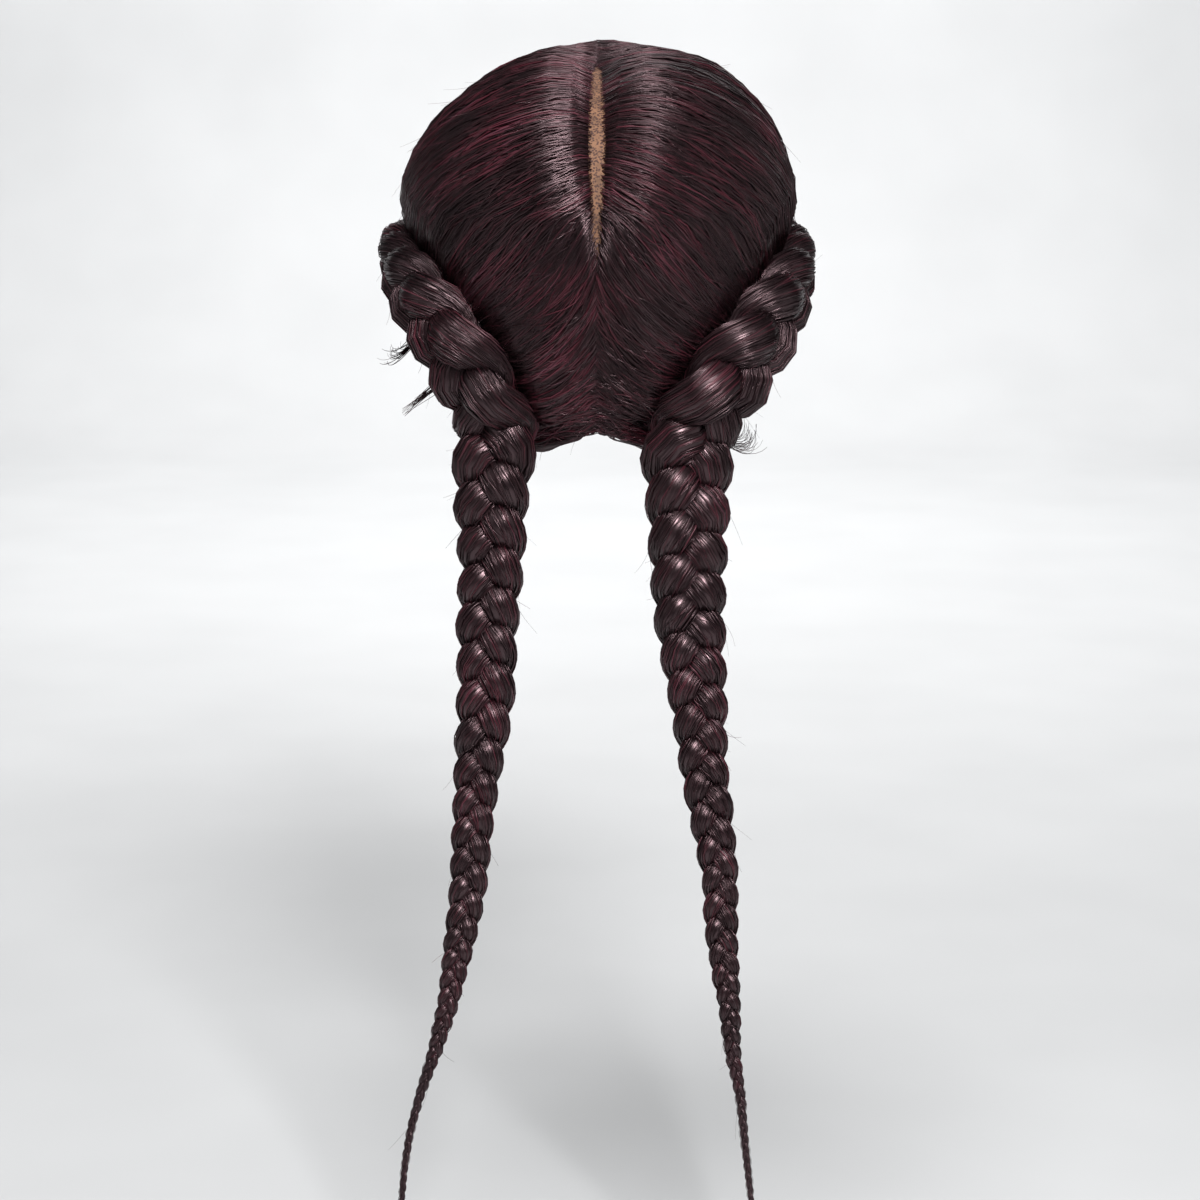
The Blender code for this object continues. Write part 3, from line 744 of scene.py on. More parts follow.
def stray_hairs(hairs, count, rng, outward_of):
    """Fine hairs that stand away from where other hairs lie."""
    strays = []
    girth = STRAY_GIRTH * np.linspace(1.0, STRAY_TIP, STRAY_POINTS)
    for _ in range(count):
        line = hairs[int(rng.integers(len(hairs)))].line
        place = int(rng.integers(1, len(line) - 2))
        along = unit(line[place + 1] - line[place])
        away = outward_of(line[place])
        heading = unit(along + away * rng.uniform(*STRAY_RISE) + rng.normal(0.0, STRAY_SCATTER, 3))
        length = rng.uniform(*STRAY_LENGTHS)
        stray = loose_line(line[place], away, heading, length, rng.normal(*STRAY_CURL), STRAY_POINTS)
        strays.append(Hair(stray, girth, np.full(STRAY_POINTS, rng.uniform(*STRAY_TINTS))))
    return strays


def under_sheets(side, feet):
    """Closed sheets of hair below the loose hairs: from the parting to the braid, and from the hem."""
    shares = np.linspace(0.0, 1.0, UNDER_ROWS + 1)
    tilts = np.linspace(FIRST_TILT, LAST_TILT, UNDER_COLUMNS + 1)
    turns = np.linspace(FIRST_TURN, LAST_TURN, UNDER_COLUMNS // 2 + 1)
    tilts, across = np.meshgrid(tilts, shares, indexing="ij")
    turns, upward = np.meshgrid(turns, shares, indexing="ij")
    combed = combed_directions(side, tilts, across)
    tucked = tucked_directions(side, turns, upward)
    bodies = []
    streaks = []
    for line, depth, places, ahead in (
        (combed, combed_depth(side, feet, tilts, across, combed), tilts, across),
        (tucked, hair_depth(tucked, side, feet), turns, upward),
    ):
        outer = np.maximum(depth - UNDER_SINK, HAIR_SEAT + THINNEST_HAIR)
        inner = np.maximum(outer - UNDER_THICKNESS, HAIR_SEAT)
        bodies.append(closed_sheet(head_point(line, inner), head_point(line, outer)))
        streak = [places * SHEET_STREAKS_ACROSS, ahead * SHEET_STREAKS_ALONG, np.zeros(places.shape)]
        streaks.append(np.tile(np.stack(streak, axis=-1).reshape(-1, 3), (2, 1)))
    points = np.concatenate([body[0] for body in bodies])
    faces = np.concatenate([bodies[0][1], bodies[1][1] + len(bodies[0][0])])
    return (points, faces), np.concatenate(streaks)


def outward_faces(points, faces):
    """Faces of one closed body of quads, turned so that they point outwards."""
    corners = points[faces]
    middle = corners.mean(axis=1)
    normal = np.cross(corners[:, 2] - corners[:, 0], corners[:, 3] - corners[:, 1])
    return faces if np.sum(middle * normal) > 0.0 else faces[:, ::-1]


def closed_sheet(inner, outer):
    """Points and outward faces of the closed body between two grids of points."""
    columns, rows = outer.shape[:2]
    grid = np.arange(columns * rows).reshape(columns, rows)
    over = grid + columns * rows
    points = np.concatenate([inner.reshape(-1, 3), outer.reshape(-1, 3)])

    def sheet(first, second, third, fourth):
        return np.stack([first, second, third, fourth], axis=-1).reshape(-1, 4)

    faces = [
        sheet(over[:-1, :-1], over[1:, :-1], over[1:, 1:], over[:-1, 1:]),
        sheet(grid[:-1, :-1], grid[:-1, 1:], grid[1:, 1:], grid[1:, :-1]),
        sheet(grid[:-1, 0], grid[1:, 0], over[1:, 0], over[:-1, 0]),
        sheet(grid[:-1, -1], over[:-1, -1], over[1:, -1], grid[1:, -1]),
        sheet(grid[0, :-1], over[0, :-1], over[0, 1:], grid[0, 1:]),
        sheet(grid[-1, :-1], grid[-1, 1:], over[-1, 1:], over[-1, :-1]),
    ]
    return points, outward_faces(points, np.concatenate(faces))


def braid_route(side):
    """Middle line of a braid with its outward face, width and pitch, as one dense table."""
    sign = SIDE_SIGN[side]
    feet = seam_feet(side)
    rows = []
    for row in SEAM[side]:
        at = directions_at_heights(sign * row.turn, row.height)
        lift = hair_depth(at, side, feet) + BRAID_HALF_DEPTH * row.width
        rows.append([*head_point(at, lift), *head_outward(at), row.width, row.pitch])
    for row in HANG[side]:
        turn = math.radians(row.face_turn)
        face = (sign * math.sin(turn), math.cos(turn), 0.0)
        rows.append([sign * row.across, row.back, row.height, *face, row.width, row.pitch])
    return smooth_rows(rows, STEPS)


class Braid:
    """Middle lines of three strands that swing side to side and pass over one another."""

    def __init__(self, side):
        table = braid_route(side)
        self.middle = table[:, 0:3]
        steps = np.linalg.norm(np.diff(self.middle, axis=0), axis=1)
        self.run = np.concatenate([[0.0], np.cumsum(steps)])
        along = unit(np.gradient(self.middle, self.run, axis=0))
        self.face = unit(table[:, 3:6] - along * dot(table[:, 3:6], along))
        self.across = np.cross(along, self.face)
        self.width = table[:, 6]
        rate = 2.0 * math.pi / (STRANDS * table[:, 7] * self.width)
        self.phase = np.concatenate([[0.0], np.cumsum(0.5 * (rate[1:] + rate[:-1]) * steps)])
        self.sections = self.places_of_sections()

    def places_of_sections(self):
        """Phases of the sections, closer together where the braid is wide."""
        phases = [0.0]
        while phases[-1] < self.phase[-1]:
            fine = smooth_step(self.column(self.width, phases[-1]), COARSE_WIDTH, FINE_WIDTH)
            sections = COARSE_SECTIONS + (FINE_SECTIONS - COARSE_SECTIONS) * fine
            phases.append(phases[-1] + 2.0 * math.pi / sections)
        return np.array(phases[:-1])

    def column(self, values, phase):
        """Value of a dense column at a phase of the plait."""
        if values.ndim == 1:
            return np.interp(phase, self.phase, values)
        return np.stack([np.interp(phase, self.phase, part) for part in values.T], axis=-1)

    def strand(self, index, phase):
        """Middle of one strand at phases of the plait."""
        own = phase + 2.0 * math.pi * index / STRANDS
        width = self.column(self.width, phase)
        sideways = (SWING * width * np.sin(own))[:, None]
        through = (WEAVE * width * np.sin(2.0 * own))[:, None]
        across = self.column(self.across, phase)
        face = self.column(self.face, phase)
        return self.column(self.middle, phase) + across * sideways + face * through

    def reach(self, phase):
        """Size of the strands at their tips as a share of their full size."""
        run = self.column(self.run, phase)
        start = START_SIZE + (1.0 - START_SIZE) * smooth_step(run, 0.0, START_TAPER)
        end = END_SIZE + (1.0 - END_SIZE) * smooth_step(self.run[-1] - run, 0.0, END_TAPER)
        return start * end


class StrandForm:
    """Rounded surface of one strand, and the directions that its hairs take on it."""

    def __init__(self, braid, index):
        nudge = 0.02
        phases = braid.sections
        self.middle = braid.strand(index, phases)
        along = unit(braid.strand(index, phases + nudge) - braid.strand(index, phases - nudge))
        face = braid.column(braid.face, phases)
        self.through = unit(face - along * dot(face, along))
        self.sideways = np.cross(self.through, along)
        self.phases = phases
        self.run = braid.column(braid.run, phases)
        self.full = braid.column(braid.width, phases)
        width = self.full * braid.reach(phases)
        own = phases + 2.0 * math.pi * index / STRANDS
        crossing = np.cos(own) ** 2
        swell = 1.0 + LOBE_SWELL * np.cos(2.0 * (own - LOBE_MIDDLE))
        self.half_width = width * (EDGE_HALF_WIDTH + (CROSSING_HALF_WIDTH - EDGE_HALF_WIDTH) * crossing)
        self.half_width = self.half_width * (1.0 + 0.5 * (swell - 1.0))
        self.half_depth = width * STRAND_HALF_DEPTH * swell

    def points(self, angles, lift):
        """Points on the surface at one angle for each section, lifted off it."""
        aside = (np.cos(angles) * (self.half_width + lift))[:, None]
        outward = (np.sin(angles) * (self.half_depth + lift))[:, None]
        return self.middle + self.sideways * aside + self.through * outward

    def outward_at(self, point):
        """Direction from the nearest point of the strand's middle."""
        return unit(point - self.middle[np.linalg.norm(self.middle - point, axis=1).argmin()])


def strand_body(form, index):
    """Closed core of one strand: points and faces, and where its streaks lie."""
    sections = len(form.phases)
    rings = []
    for side in range(BODY_SIDES):
        rings.append(form.points(np.full(sections, 2.0 * math.pi * side / BODY_SIDES), -CORE_SINK))
    grid = np.stack(rings, axis=1)
    ids = np.arange(sections * BODY_SIDES).reshape(sections, BODY_SIDES)
    following = np.roll(ids, -1, axis=1)
    faces = np.stack([ids[:-1], ids[1:], following[1:], following[:-1]], axis=-1).reshape(-1, 4)
    ends = [tuple(ids[0]), tuple(ids[-1][::-1])]
    around = np.tile(np.arange(BODY_SIDES) * CORE_STREAKS_ROUND, sections)
    run = np.repeat(form.run * CORE_STREAKS_ALONG, BODY_SIDES)
    streaks = np.stack([around, run, np.full(len(run), CORE_STREAKS_APART * index)], axis=1)
    return (grid.reshape(-1, 3), [tuple(face) for face in faces] + ends), streaks


def strand_hairs(form, count, rng):
    """Hairs on one strand, which end one by one as the braid gets thinner."""
    hairs = []
    share = np.linspace(0.0, 1.0, len(form.phases))
    room = form.full / form.full.max()
    for index in range(count):
        keep = THINNEST_ROOM + (1.0 - THINNEST_ROOM) * ((index + 0.5) / count)
        alive = np.nonzero(room >= keep)[0] if keep > room[-1] else np.arange(len(room))
        first = max(int(alive[0]) - int(rng.integers(*END_SECTIONS)), 0)
        last = min(int(alive[-1]) + int(rng.integers(*END_SECTIONS)), len(room) - 1)
        angle = 2.0 * math.pi * (index * ANGLE_STEP + rng.uniform(-ANGLE_SCATTER, ANGLE_SCATTER))
        wander = rng.normal(0.0, STRAND_WANDER)
        rate = rng.uniform(*STRAND_WANDER_RATES)
        wander = wander * np.sin(form.phases * rate + rng.uniform(*STRAND_WANDER_STARTS))
        lift = rng.uniform(*STRAND_LIFT) * np.minimum(1.0, form.full / FULL_LIFT_WIDTH)
        kept = slice(first, last + 1)
        line = form.points(angle + STRAND_TWIST * form.phases + wander, lift)[kept]
        girth = STRAND_GIRTH * np.minimum(1.0, THIN_GIRTH + form.full[kept] / FULL_GIRTH_WIDTH)
        to_end = np.minimum(share[kept] - share[first], share[last] - share[kept])
        girth = girth * (END_GIRTH + (1.0 - END_GIRTH) * smooth_step(to_end, 0.0, END_SHARE))
        hairs.append(Hair(line, girth, np.full(len(line), MIDDLE_TINT)))
    return hairs


def hair_material(colours):
    """Glossy dark hair: dark and red hairs side by side, with a streak along each."""
    material, shader = new_material("wig_hair")
    tree = material.node_tree
    streak = add_node(tree, "ShaderNodeAttribute", {}, attribute_name="streak")
    tint = add_node(tree, "ShaderNodeAttribute", {}, attribute_name="tint")
    mix = add_node(tree, "ShaderNodeGroup", {
        "Streak": streak.outputs["Vector"],
        "Place": object_place(tree),
        "Tint": tint.outputs["Fac"],
        "Patch Scale": 32.0,
        "Streak Contrast": 0.55,
        "Patch Contrast": 0.75,
    }, node_tree=shared(bpy.data.node_groups, "hair_streaks", streak_group))
    ramp = colour_ramp(tree, mix.outputs["Shade"], [
        (0.00, (0.0035, 0.0016, 0.0022)),
        (0.38, colours.hair_dark),
        (0.62, colours.hair_middle),
        (0.82, colours.hair_red),
        (1.00, colours.hair_light),
    ])
    connect(tree, shader.inputs["Base Color"], ramp)
    connect(tree, shader.inputs["Roughness"], map_range(tree, mix.outputs["Shade"], 0.27, 0.40))
    add_bump(tree, shader, mix.outputs["Height"], 0.35, 0.0004)
    shader.inputs["Specular Tint"].default_value = (1.0, 0.68, 0.73, 1.0)
    shader.inputs["Specular IOR Level"].default_value = 0.8
    return material


def lace_material(colours):
    """Tan lace with a dark knot at each hair root."""
    material, shader = new_material("parting_lace_net")
    tree = material.node_tree
    place = object_place(tree)
    knots = add_node(tree, "ShaderNodeTexVoronoi", {"Vector": place, "Scale": 980.0})
    patch = add_node(tree, "ShaderNodeTexNoise", {"Vector": place, "Scale": 160.0})
    thread = net_thread(tree, place, 1500.0)
    shadow = 0.55 * Vector(colours.lace)
    skin = colour_ramp(tree, patch.outputs["Fac"], [(0.30, shadow), (0.70, colours.lace)])
    knot = colour_ramp(tree, knots.outputs["Distance"], [(0.36, (0.0, 0.0, 0.0)), (0.58, (1.0, 1.0, 1.0))])
    connect(tree, shader.inputs["Base Color"], mix_colours(tree, knot, colours.knot, skin))
    add_bump(tree, shader, thread, 0.5, 0.0002)
    shader.inputs["Roughness"].default_value = 0.75
    return material


def cap_material(colours):
    """Dark stretch net of the cap."""
    material, shader = new_material("cap_net")
    tree = material.node_tree
    thread = net_thread(tree, object_place(tree), 620.0)
    ramp = colour_ramp(tree, thread, [(0.25, 0.35 * Vector(colours.cap)), (0.75, colours.cap)])
    connect(tree, shader.inputs["Base Color"], ramp)
    connect(tree, shader.inputs["Roughness"], map_range(tree, thread, 0.95, 0.70))
    add_bump(tree, shader, thread, 0.8, 0.0004)
    return material


def stage_material():
    """Plain pale paper of the floor and the backdrop."""
    material, shader = new_material("pale_paper")
    tree = material.node_tree
    grain = add_node(tree, "ShaderNodeTexNoise", {"Vector": object_place(tree), "Scale": 6.0})
    ramp = colour_ramp(tree, grain.outputs["Fac"], [(0.3, (0.565, 0.57, 0.575)), (0.7, (0.595, 0.60, 0.605))])
    connect(tree, shader.inputs["Base Color"], ramp)
    shader.inputs["Roughness"].default_value = 0.9
    return material


def new_material(name):
    """Empty Principled material and its shader."""
    material = bpy.data.materials.new(name)
    material.use_nodes = True
    return material, material.node_tree.nodes["Principled BSDF"]


def connect(tree, socket, value):
    """Wire an input to an output, or give it a plain value."""
    if isinstance(value, bpy.types.NodeSocket):
        tree.links.new(value, socket)
    else:
        socket.default_value = value


def add_node(tree, kind, inputs, **settings):
    """Node with its settings, and its inputs wired or given plain values."""
    node = tree.nodes.new(kind)
    for key, value in settings.items():
        setattr(node, key, value)
    for key, value in inputs.items():
        connect(tree, node.inputs[key], value)
    return node


def by_identifier(sockets):
    """Sockets by their identifiers, where several have one name."""
    return {socket.identifier: socket for socket in sockets}


def object_place(tree):
    """Place on the object."""
    return tree.nodes.new("ShaderNodeTexCoord").outputs["Object"]


def net_thread(tree, place, mesh_size):
    """Threads of a net with so many holes to the metre."""
    group = shared(bpy.data.node_groups, "net_threads", net_group)
    net = add_node(tree, "ShaderNodeGroup", {}, node_tree=group)
    connect(tree, net.inputs["Place"], place)
    connect(tree, net.inputs["Mesh Size"], mesh_size)
    return net.outputs["Thread"]


def colour_ramp(tree, factor, stops):
    """Colour of a ramp with its stops."""
    ramp = add_node(tree, "ShaderNodeValToRGB", {"Fac": factor})
    elements = ramp.color_ramp.elements
    while len(elements) < len(stops):
        elements.new(0.5)
    for element, (position, colour) in zip(elements, stops):
        element.position = position
        element.color = (*colour, 1.0)
    return ramp.outputs["Color"]


def mix_colours(tree, factor, first, second):
    """Mix of two colours by a mask; the first is plain and the second is wired."""
    mix = add_node(tree, "ShaderNodeMix", {"Factor": factor}, data_type="RGBA")
    sockets = by_identifier(mix.inputs)
    connect(tree, sockets["A_Color"], (*first, 1.0))
    connect(tree, sockets["B_Color"], second)
    return by_identifier(mix.outputs)["Result_Color"]


def map_range(tree, value, low, high):
    """Value from 0 to 1 mapped to a range."""
    node = add_node(tree, "ShaderNodeMapRange", {"Value": value, "To Min": low, "To Max": high})
    return node.outputs["Result"]


def add_bump(tree, shader, height, strength, distance):
    """Bump of a height wired to the shader's normal."""
    bump = add_node(tree, "ShaderNodeBump", {"Height": height, "Strength": strength, "Distance": distance})
    connect(tree, shader.inputs["Normal"], bump.outputs["Normal"])


def new_group(name, kind, inputs, outputs):
    """New node group with its named sockets, and its input and output nodes."""
    tree = bpy.data.node_groups.new(name, kind)
    for socket_name, socket_type, value in inputs:
        socket = tree.interface.new_socket(name=socket_name, in_out="INPUT", socket_type=socket_type)
        if value is not None:
            socket.default_value = value
    for socket_name, socket_type in outputs:
        tree.interface.new_socket(name=socket_name, in_out="OUTPUT", socket_type=socket_type)
    return tree, tree.nodes.new("NodeGroupInput"), tree.nodes.new("NodeGroupOutput")


def math_node(tree, operation, first, second):
    """Math node on wired or plain values."""
    return add_node(tree, "ShaderNodeMath", {0: first, 1: second}, operation=operation).outputs["Value"]


def streak_group():
    """Shade and height of hair: streaks along the hairs, and patches over the whole head."""
    tree, entry, leave = new_group("hair_streaks", "ShaderNodeTree", [
        ("Streak", "NodeSocketVector", None),
        ("Place", "NodeSocketVector", None),
        ("Tint", "NodeSocketFloat", 0.5),
        ("Patch Scale", "NodeSocketFloat", 32.0),
        ("Streak Contrast", "NodeSocketFloat", 0.55),
        ("Patch Contrast", "NodeSocketFloat", 0.75),
    ], [("Shade", "NodeSocketFloat"), ("Height", "NodeSocketFloat")])
    streaks = add_node(tree, "ShaderNodeTexNoise", {
        "Vector": entry.outputs["Streak"],
        "Scale": 1.0,
        "Detail": 3.0,
    })
    patches = add_node(tree, "ShaderNodeTexNoise", {
        "Vector": entry.outputs["Place"],
        "Scale": entry.outputs["Patch Scale"],
        "Detail": 1.0,
    })
    streak = math_node(tree, "SUBTRACT", streaks.outputs["Fac"], 0.5)
    streak = math_node(tree, "MULTIPLY", streak, entry.outputs["Streak Contrast"])
    patch = math_node(tree, "SUBTRACT", patches.outputs["Fac"], 0.5)
    patch = math_node(tree, "MULTIPLY", patch, entry.outputs["Patch Contrast"])
    shade = math_node(tree, "ADD", entry.outputs["Tint"], math_node(tree, "ADD", streak, patch))
    connect(tree, leave.inputs["Shade"], shade)
    connect(tree, leave.inputs["Height"], streaks.outputs["Fac"])
    return tree


def net_group():
    """Threads of a fine net: 1 on a thread and 0 in a hole."""
    tree, entry, leave = new_group("net_threads", "ShaderNodeTree", [
        ("Place", "NodeSocketVector", None),
        ("Mesh Size", "NodeSocketFloat", 600.0),
    ], [("Thread", "NodeSocketFloat")])
    cells = add_node(tree, "ShaderNodeTexVoronoi", {
        "Vector": entry.outputs["Place"],
        "Scale": entry.outputs["Mesh Size"],
        "Randomness": 0.35,
    }, feature="DISTANCE_TO_EDGE")
    thread = add_node(tree, "ShaderNodeMapRange", {
        "Value": cells.outputs["Distance"],
        "From Min": 0.04,
        "From Max": 0.20,
        "To Min": 1.0,
        "To Max": 0.0,
    })
    connect(tree, leave.inputs["Thread"], thread.outputs["Result"])
    return tree


def hairs_tree():
    """Geometry Nodes that turn marked lines into hairs and pass the body through."""
    tree, entry, leave = new_group("hairs_on_lines", "GeometryNodeTree", [
        ("Geometry", "NodeSocketGeometry", None),
        ("Hair Width", "NodeSocketFloat", 0.0006),
        ("Width Spread", "NodeSocketFloat", 0.3),
        ("Tint Spread", "NodeSocketFloat", 0.3),
        ("Sides", "NodeSocketInt", 3),
        ("Seed", "NodeSocketInt", 1),
        ("Material", "NodeSocketMaterial", None),
    ], [("Geometry", "NodeSocketGeometry")])
    parts = add_node(tree, "GeometryNodeSeparateGeometry", {
        "Geometry": entry.outputs["Geometry"],
        "Selection": named_value(tree, "BOOLEAN", "is_line"),
    })
    curves = add_node(tree, "GeometryNodeMeshToCurve", {"Mesh": parts.outputs["Selection"]})
    hair = tree.nodes.new("GeometryNodeCurveOfPoint").outputs["Curve Index"]

    seed = entry.outputs["Seed"]
    widest = math_node(tree, "ADD", 1.0, entry.outputs["Width Spread"])
    thinnest = math_node(tree, "SUBTRACT", 1.0, entry.outputs["Width Spread"])
    thickness = random_value(tree, thinnest, widest, hair, seed)
    half = math_node(tree, "MULTIPLY", entry.outputs["Hair Width"], 0.5)
    radius = math_node(tree, "MULTIPLY", named_value(tree, "FLOAT", "girth"), half)
    radius = math_node(tree, "MULTIPLY", radius, thickness)

    lightest = entry.outputs["Tint Spread"]
    darkest = math_node(tree, "MULTIPLY", lightest, -1.0)
    own = random_value(tree, darkest, lightest, hair, math_node(tree, "ADD", seed, 1))
    tint = math_node(tree, "ADD", named_value(tree, "FLOAT", "tint"), own)
    tinted = store_value(tree, curves.outputs["Curve"], "FLOAT", "tint", tint)
    apart = random_value(tree, 0.0, HAIR_STREAKS_APART, hair, math_node(tree, "ADD", seed, 2))
    length = tree.nodes.new("GeometryNodeSplineParameter").outputs["Length"]
    ahead = math_node(tree, "MULTIPLY", length, HAIR_STREAKS_ALONG)
    streak = add_node(tree, "ShaderNodeCombineXYZ", {"X": apart, "Y": ahead})
    streaked = store_value(tree, tinted, "FLOAT_VECTOR", "streak", streak.outputs["Vector"])

    outline = add_node(tree, "GeometryNodeCurvePrimitiveCircle", {"Radius": 1.0})
    connect(tree, outline.inputs["Resolution"], entry.outputs["Sides"])
    swept = add_node(tree, "GeometryNodeCurveToMesh", {
        "Curve": streaked,
        "Profile Curve": outline.outputs["Curve"],
        "Scale": radius,
        "Fill Caps": True,
    })
    joined = add_node(tree, "GeometryNodeJoinGeometry", {"Geometry": swept.outputs["Mesh"]})
    connect(tree, joined.inputs["Geometry"], parts.outputs["Inverted"])
    smooth = add_node(tree, "GeometryNodeSetShadeSmooth", {"Geometry": joined.outputs["Geometry"]})
    real = add_node(tree, "GeometryNodeRealizeInstances", {"Geometry": smooth.outputs["Geometry"]})
    finish = add_node(tree, "GeometryNodeSetMaterial", {
        "Geometry": real.outputs["Geometry"],
        "Material": entry.outputs["Material"],
    })
    connect(tree, leave.inputs["Geometry"], finish.outputs["Geometry"])
    return tree


def named_value(tree, data_type, name):
    """Value of a named attribute."""
    node = add_node(tree, "GeometryNodeInputNamedAttribute", {"Name": name}, data_type=data_type)
    return node.outputs["Attribute"]


def store_value(tree, geometry, data_type, name, value):
    """Geometry with a value stored on its points."""
    inputs = {"Geometry": geometry, "Name": name, "Value": value}
    node = add_node(tree, "GeometryNodeStoreNamedAttribute", inputs, data_type=data_type, domain="POINT")
    return node.outputs["Geometry"]


def random_value(tree, low, high, identity, seed):
    """Random number for each hair, the same on every run."""
    node = add_node(tree, "FunctionNodeRandomValue", {}, data_type="FLOAT")
    sockets = by_identifier(node.inputs)
    for key, value in (("Min_001", low), ("Max_001", high), ("ID", identity), ("Seed", seed)):
        connect(tree, sockets[key], value)
    return by_identifier(node.outputs)["Value_001"]


def hair_piece(name, body, hairs, streaks, material, look, seed):
    """Object of a closed body and the hairs that lie on it."""
    points, faces = body
    counts = np.array([len(hair.line) for hair in hairs])
    firsts = np.concatenate([[0], np.cumsum(counts)[:-1]]) + len(points)
    edges = np.concatenate([
        np.stack([np.arange(count - 1), np.arange(1, count)], axis=1) + first
        for first, count in zip(firsts, counts)
    ])
    everything = np.concatenate([points] + [hair.line for hair in hairs])
    mesh = bpy.data.meshes.new(name)
    mesh.from_pydata(everything.tolist(), edges.tolist(), [tuple(map(int, face)) for face in faces])
    is_line = np.arange(len(everything)) >= len(points)
    girth = np.concatenate([np.ones(len(points))] + [hair.girth for hair in hairs])
    # The closed body takes a darker tint than its hairs: painted shade below the hairs
    tint = np.concatenate([np.full(len(points), SHADED_BODY_TINT)] + [hair.tint for hair in hairs])
    streak = np.concatenate([streaks, np.zeros((counts.sum(), 3))])
    for key, kind, field, values in (
        ("is_line", "BOOLEAN", "value", is_line),
        ("girth", "FLOAT", "value", girth),
        ("tint", "FLOAT", "value", tint),
        ("streak", "FLOAT_VECTOR", "vector", streak),
    ):
        mesh.attributes.new(key, kind, "POINT").data.foreach_set(field, values.ravel())
    thing = bpy.data.objects.new(name, mesh)
    bpy.context.scene.collection.objects.link(thing)
    tree = shared(bpy.data.node_groups, "hairs_on_lines", hairs_tree)
    modifier = thing.modifiers.new("hairs", "NODES")
    modifier.node_group = tree
    values = {
        "Hair Width": look.hair_width,
        "Width Spread": look.width_spread,
        "Tint Spread": look.tint_spread,
        "Sides": HAIR_SIDES,
        "Seed": seed,
        "Material": material,
    }
    for item in tree.interface.items_tree:
        if item.in_out == "INPUT" and item.name in values:
            modifier[item.identifier] = values[item.name]
    return bake(thing)


def bake(thing):
    """Turn an object with modifiers into a plain mesh."""
    bpy.context.view_layer.update()
    evaluated = thing.evaluated_get(bpy.context.evaluated_depsgraph_get())
    mesh = bpy.data.meshes.new_from_object(evaluated)
    mesh.name = thing.name
    thing.modifiers.clear()
    before = thing.data
    thing.data = mesh
    bpy.data.meshes.remove(before)
    for key in ("is_line", "girth"):
        if key in mesh.attributes:
            mesh.attributes.remove(mesh.attributes[key])
    return thing


def seat(thing, slot, *nodes):
    """Let a piece ride on the part, in the place of its nodes."""
    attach(thing, "root")
    if nodes:
        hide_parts(*nodes)


def shared(store, name, make, *arguments):
    """Material or node group of that name, made if it isn't there yet."""
    return store.get(name) or make(*arguments)


def mesh_object(name, points, faces, material):
    """Smooth object of points and faces with its material."""
    mesh = bpy.data.meshes.new(name)
    mesh.from_pydata(points, [], faces)
    mesh.shade_smooth()
    mesh.materials.append(material)
    thing = bpy.data.objects.new(name, mesh)
    bpy.context.scene.collection.objects.link(thing)
    return thing


class StageLook(bpy.types.PropertyGroup):
    """Floor, light and camera"""

    floor_height: FloatProperty(
        name="Floor Height", description="Height of the floor below the crown", default=-0.565, unit="LENGTH")
    key_power: FloatProperty(
        name="Key Power", description="Power of the soft light behind the camera", default=41.0, min=0.0)
    top_power: FloatProperty(
        name="Top Power", description="Power of the soft light above the wig", default=21.0, min=0.0)
    fill_power: FloatProperty(
        name="Fill Power", description="Power of the two soft lights at the sides", default=2.5, min=0.0)
    wall_power: FloatProperty(
        name="Wall Power", description="Power of the soft light on the backdrop", default=51.0, min=0.0)
    world_strength: FloatProperty(
        name="World Strength", description="Strength of the even light all round", default=0.08, min=0.0)


class HairLook(bpy.types.PropertyGroup):
    """Sizes and colours of the hair"""

    hair_width: FloatProperty(
        name="Hair Width", description="Width of one modelled hair, which stands for a few real ones",
        default=0.00058, min=0.0001, max=0.003, precision=5, unit="LENGTH")
    width_spread: FloatProperty(
        name="Width Spread", description="How much the hairs differ in width", default=0.3, min=0.0, max=0.9)
    tint_spread: FloatProperty(
        name="Tint Spread", description="How much the hairs differ in colour", default=0.28, min=0.0, max=1.0)
    scalp_hairs: IntProperty(
        name="Scalp Hairs", description="Hairs on each side, from the parting to the braid",
        default=1780, min=50, max=2600)
    side_hairs: IntProperty(
        name="Side Hairs", description="Hairs on each side below the braid", default=330, min=20, max=500)
    hem_hairs: IntProperty(
        name="Hem Hairs", description="Hairs on each side along the edge at the nape",
        default=70, min=0, max=200)
    strand_hairs: IntProperty(
        name="Strand Hairs", description="Hairs on each strand at its thickest",
        default=120, min=10, max=240)
    stray_hairs: IntProperty(
        name="Stray Hairs", description="Hairs that stand away from each piece", default=80, min=0, max=200)
    seed: IntProperty(name="Seed", description="Start of the random numbers", default=7, min=0)
    hair_dark: FloatVectorProperty(
        name="Dark Hair", description="Colour of the darker hairs", subtype="COLOR",
        default=(0.0040, 0.0016, 0.0020), min=0.0, max=1.0)
    hair_middle: FloatVectorProperty(
        name="Plum Hair", description="Colour of most hairs", subtype="COLOR",
        default=(0.0200, 0.0060, 0.0082), min=0.0, max=1.0)
    hair_red: FloatVectorProperty(
        name="Red Hair", description="Colour of the burgundy hairs", subtype="COLOR",
        default=(0.072, 0.0105, 0.0190), min=0.0, max=1.0)
    hair_light: FloatVectorProperty(
        name="Light Hair", description="Colour of the lightest hairs", subtype="COLOR",
        default=(0.085, 0.030, 0.045), min=0.0, max=1.0)


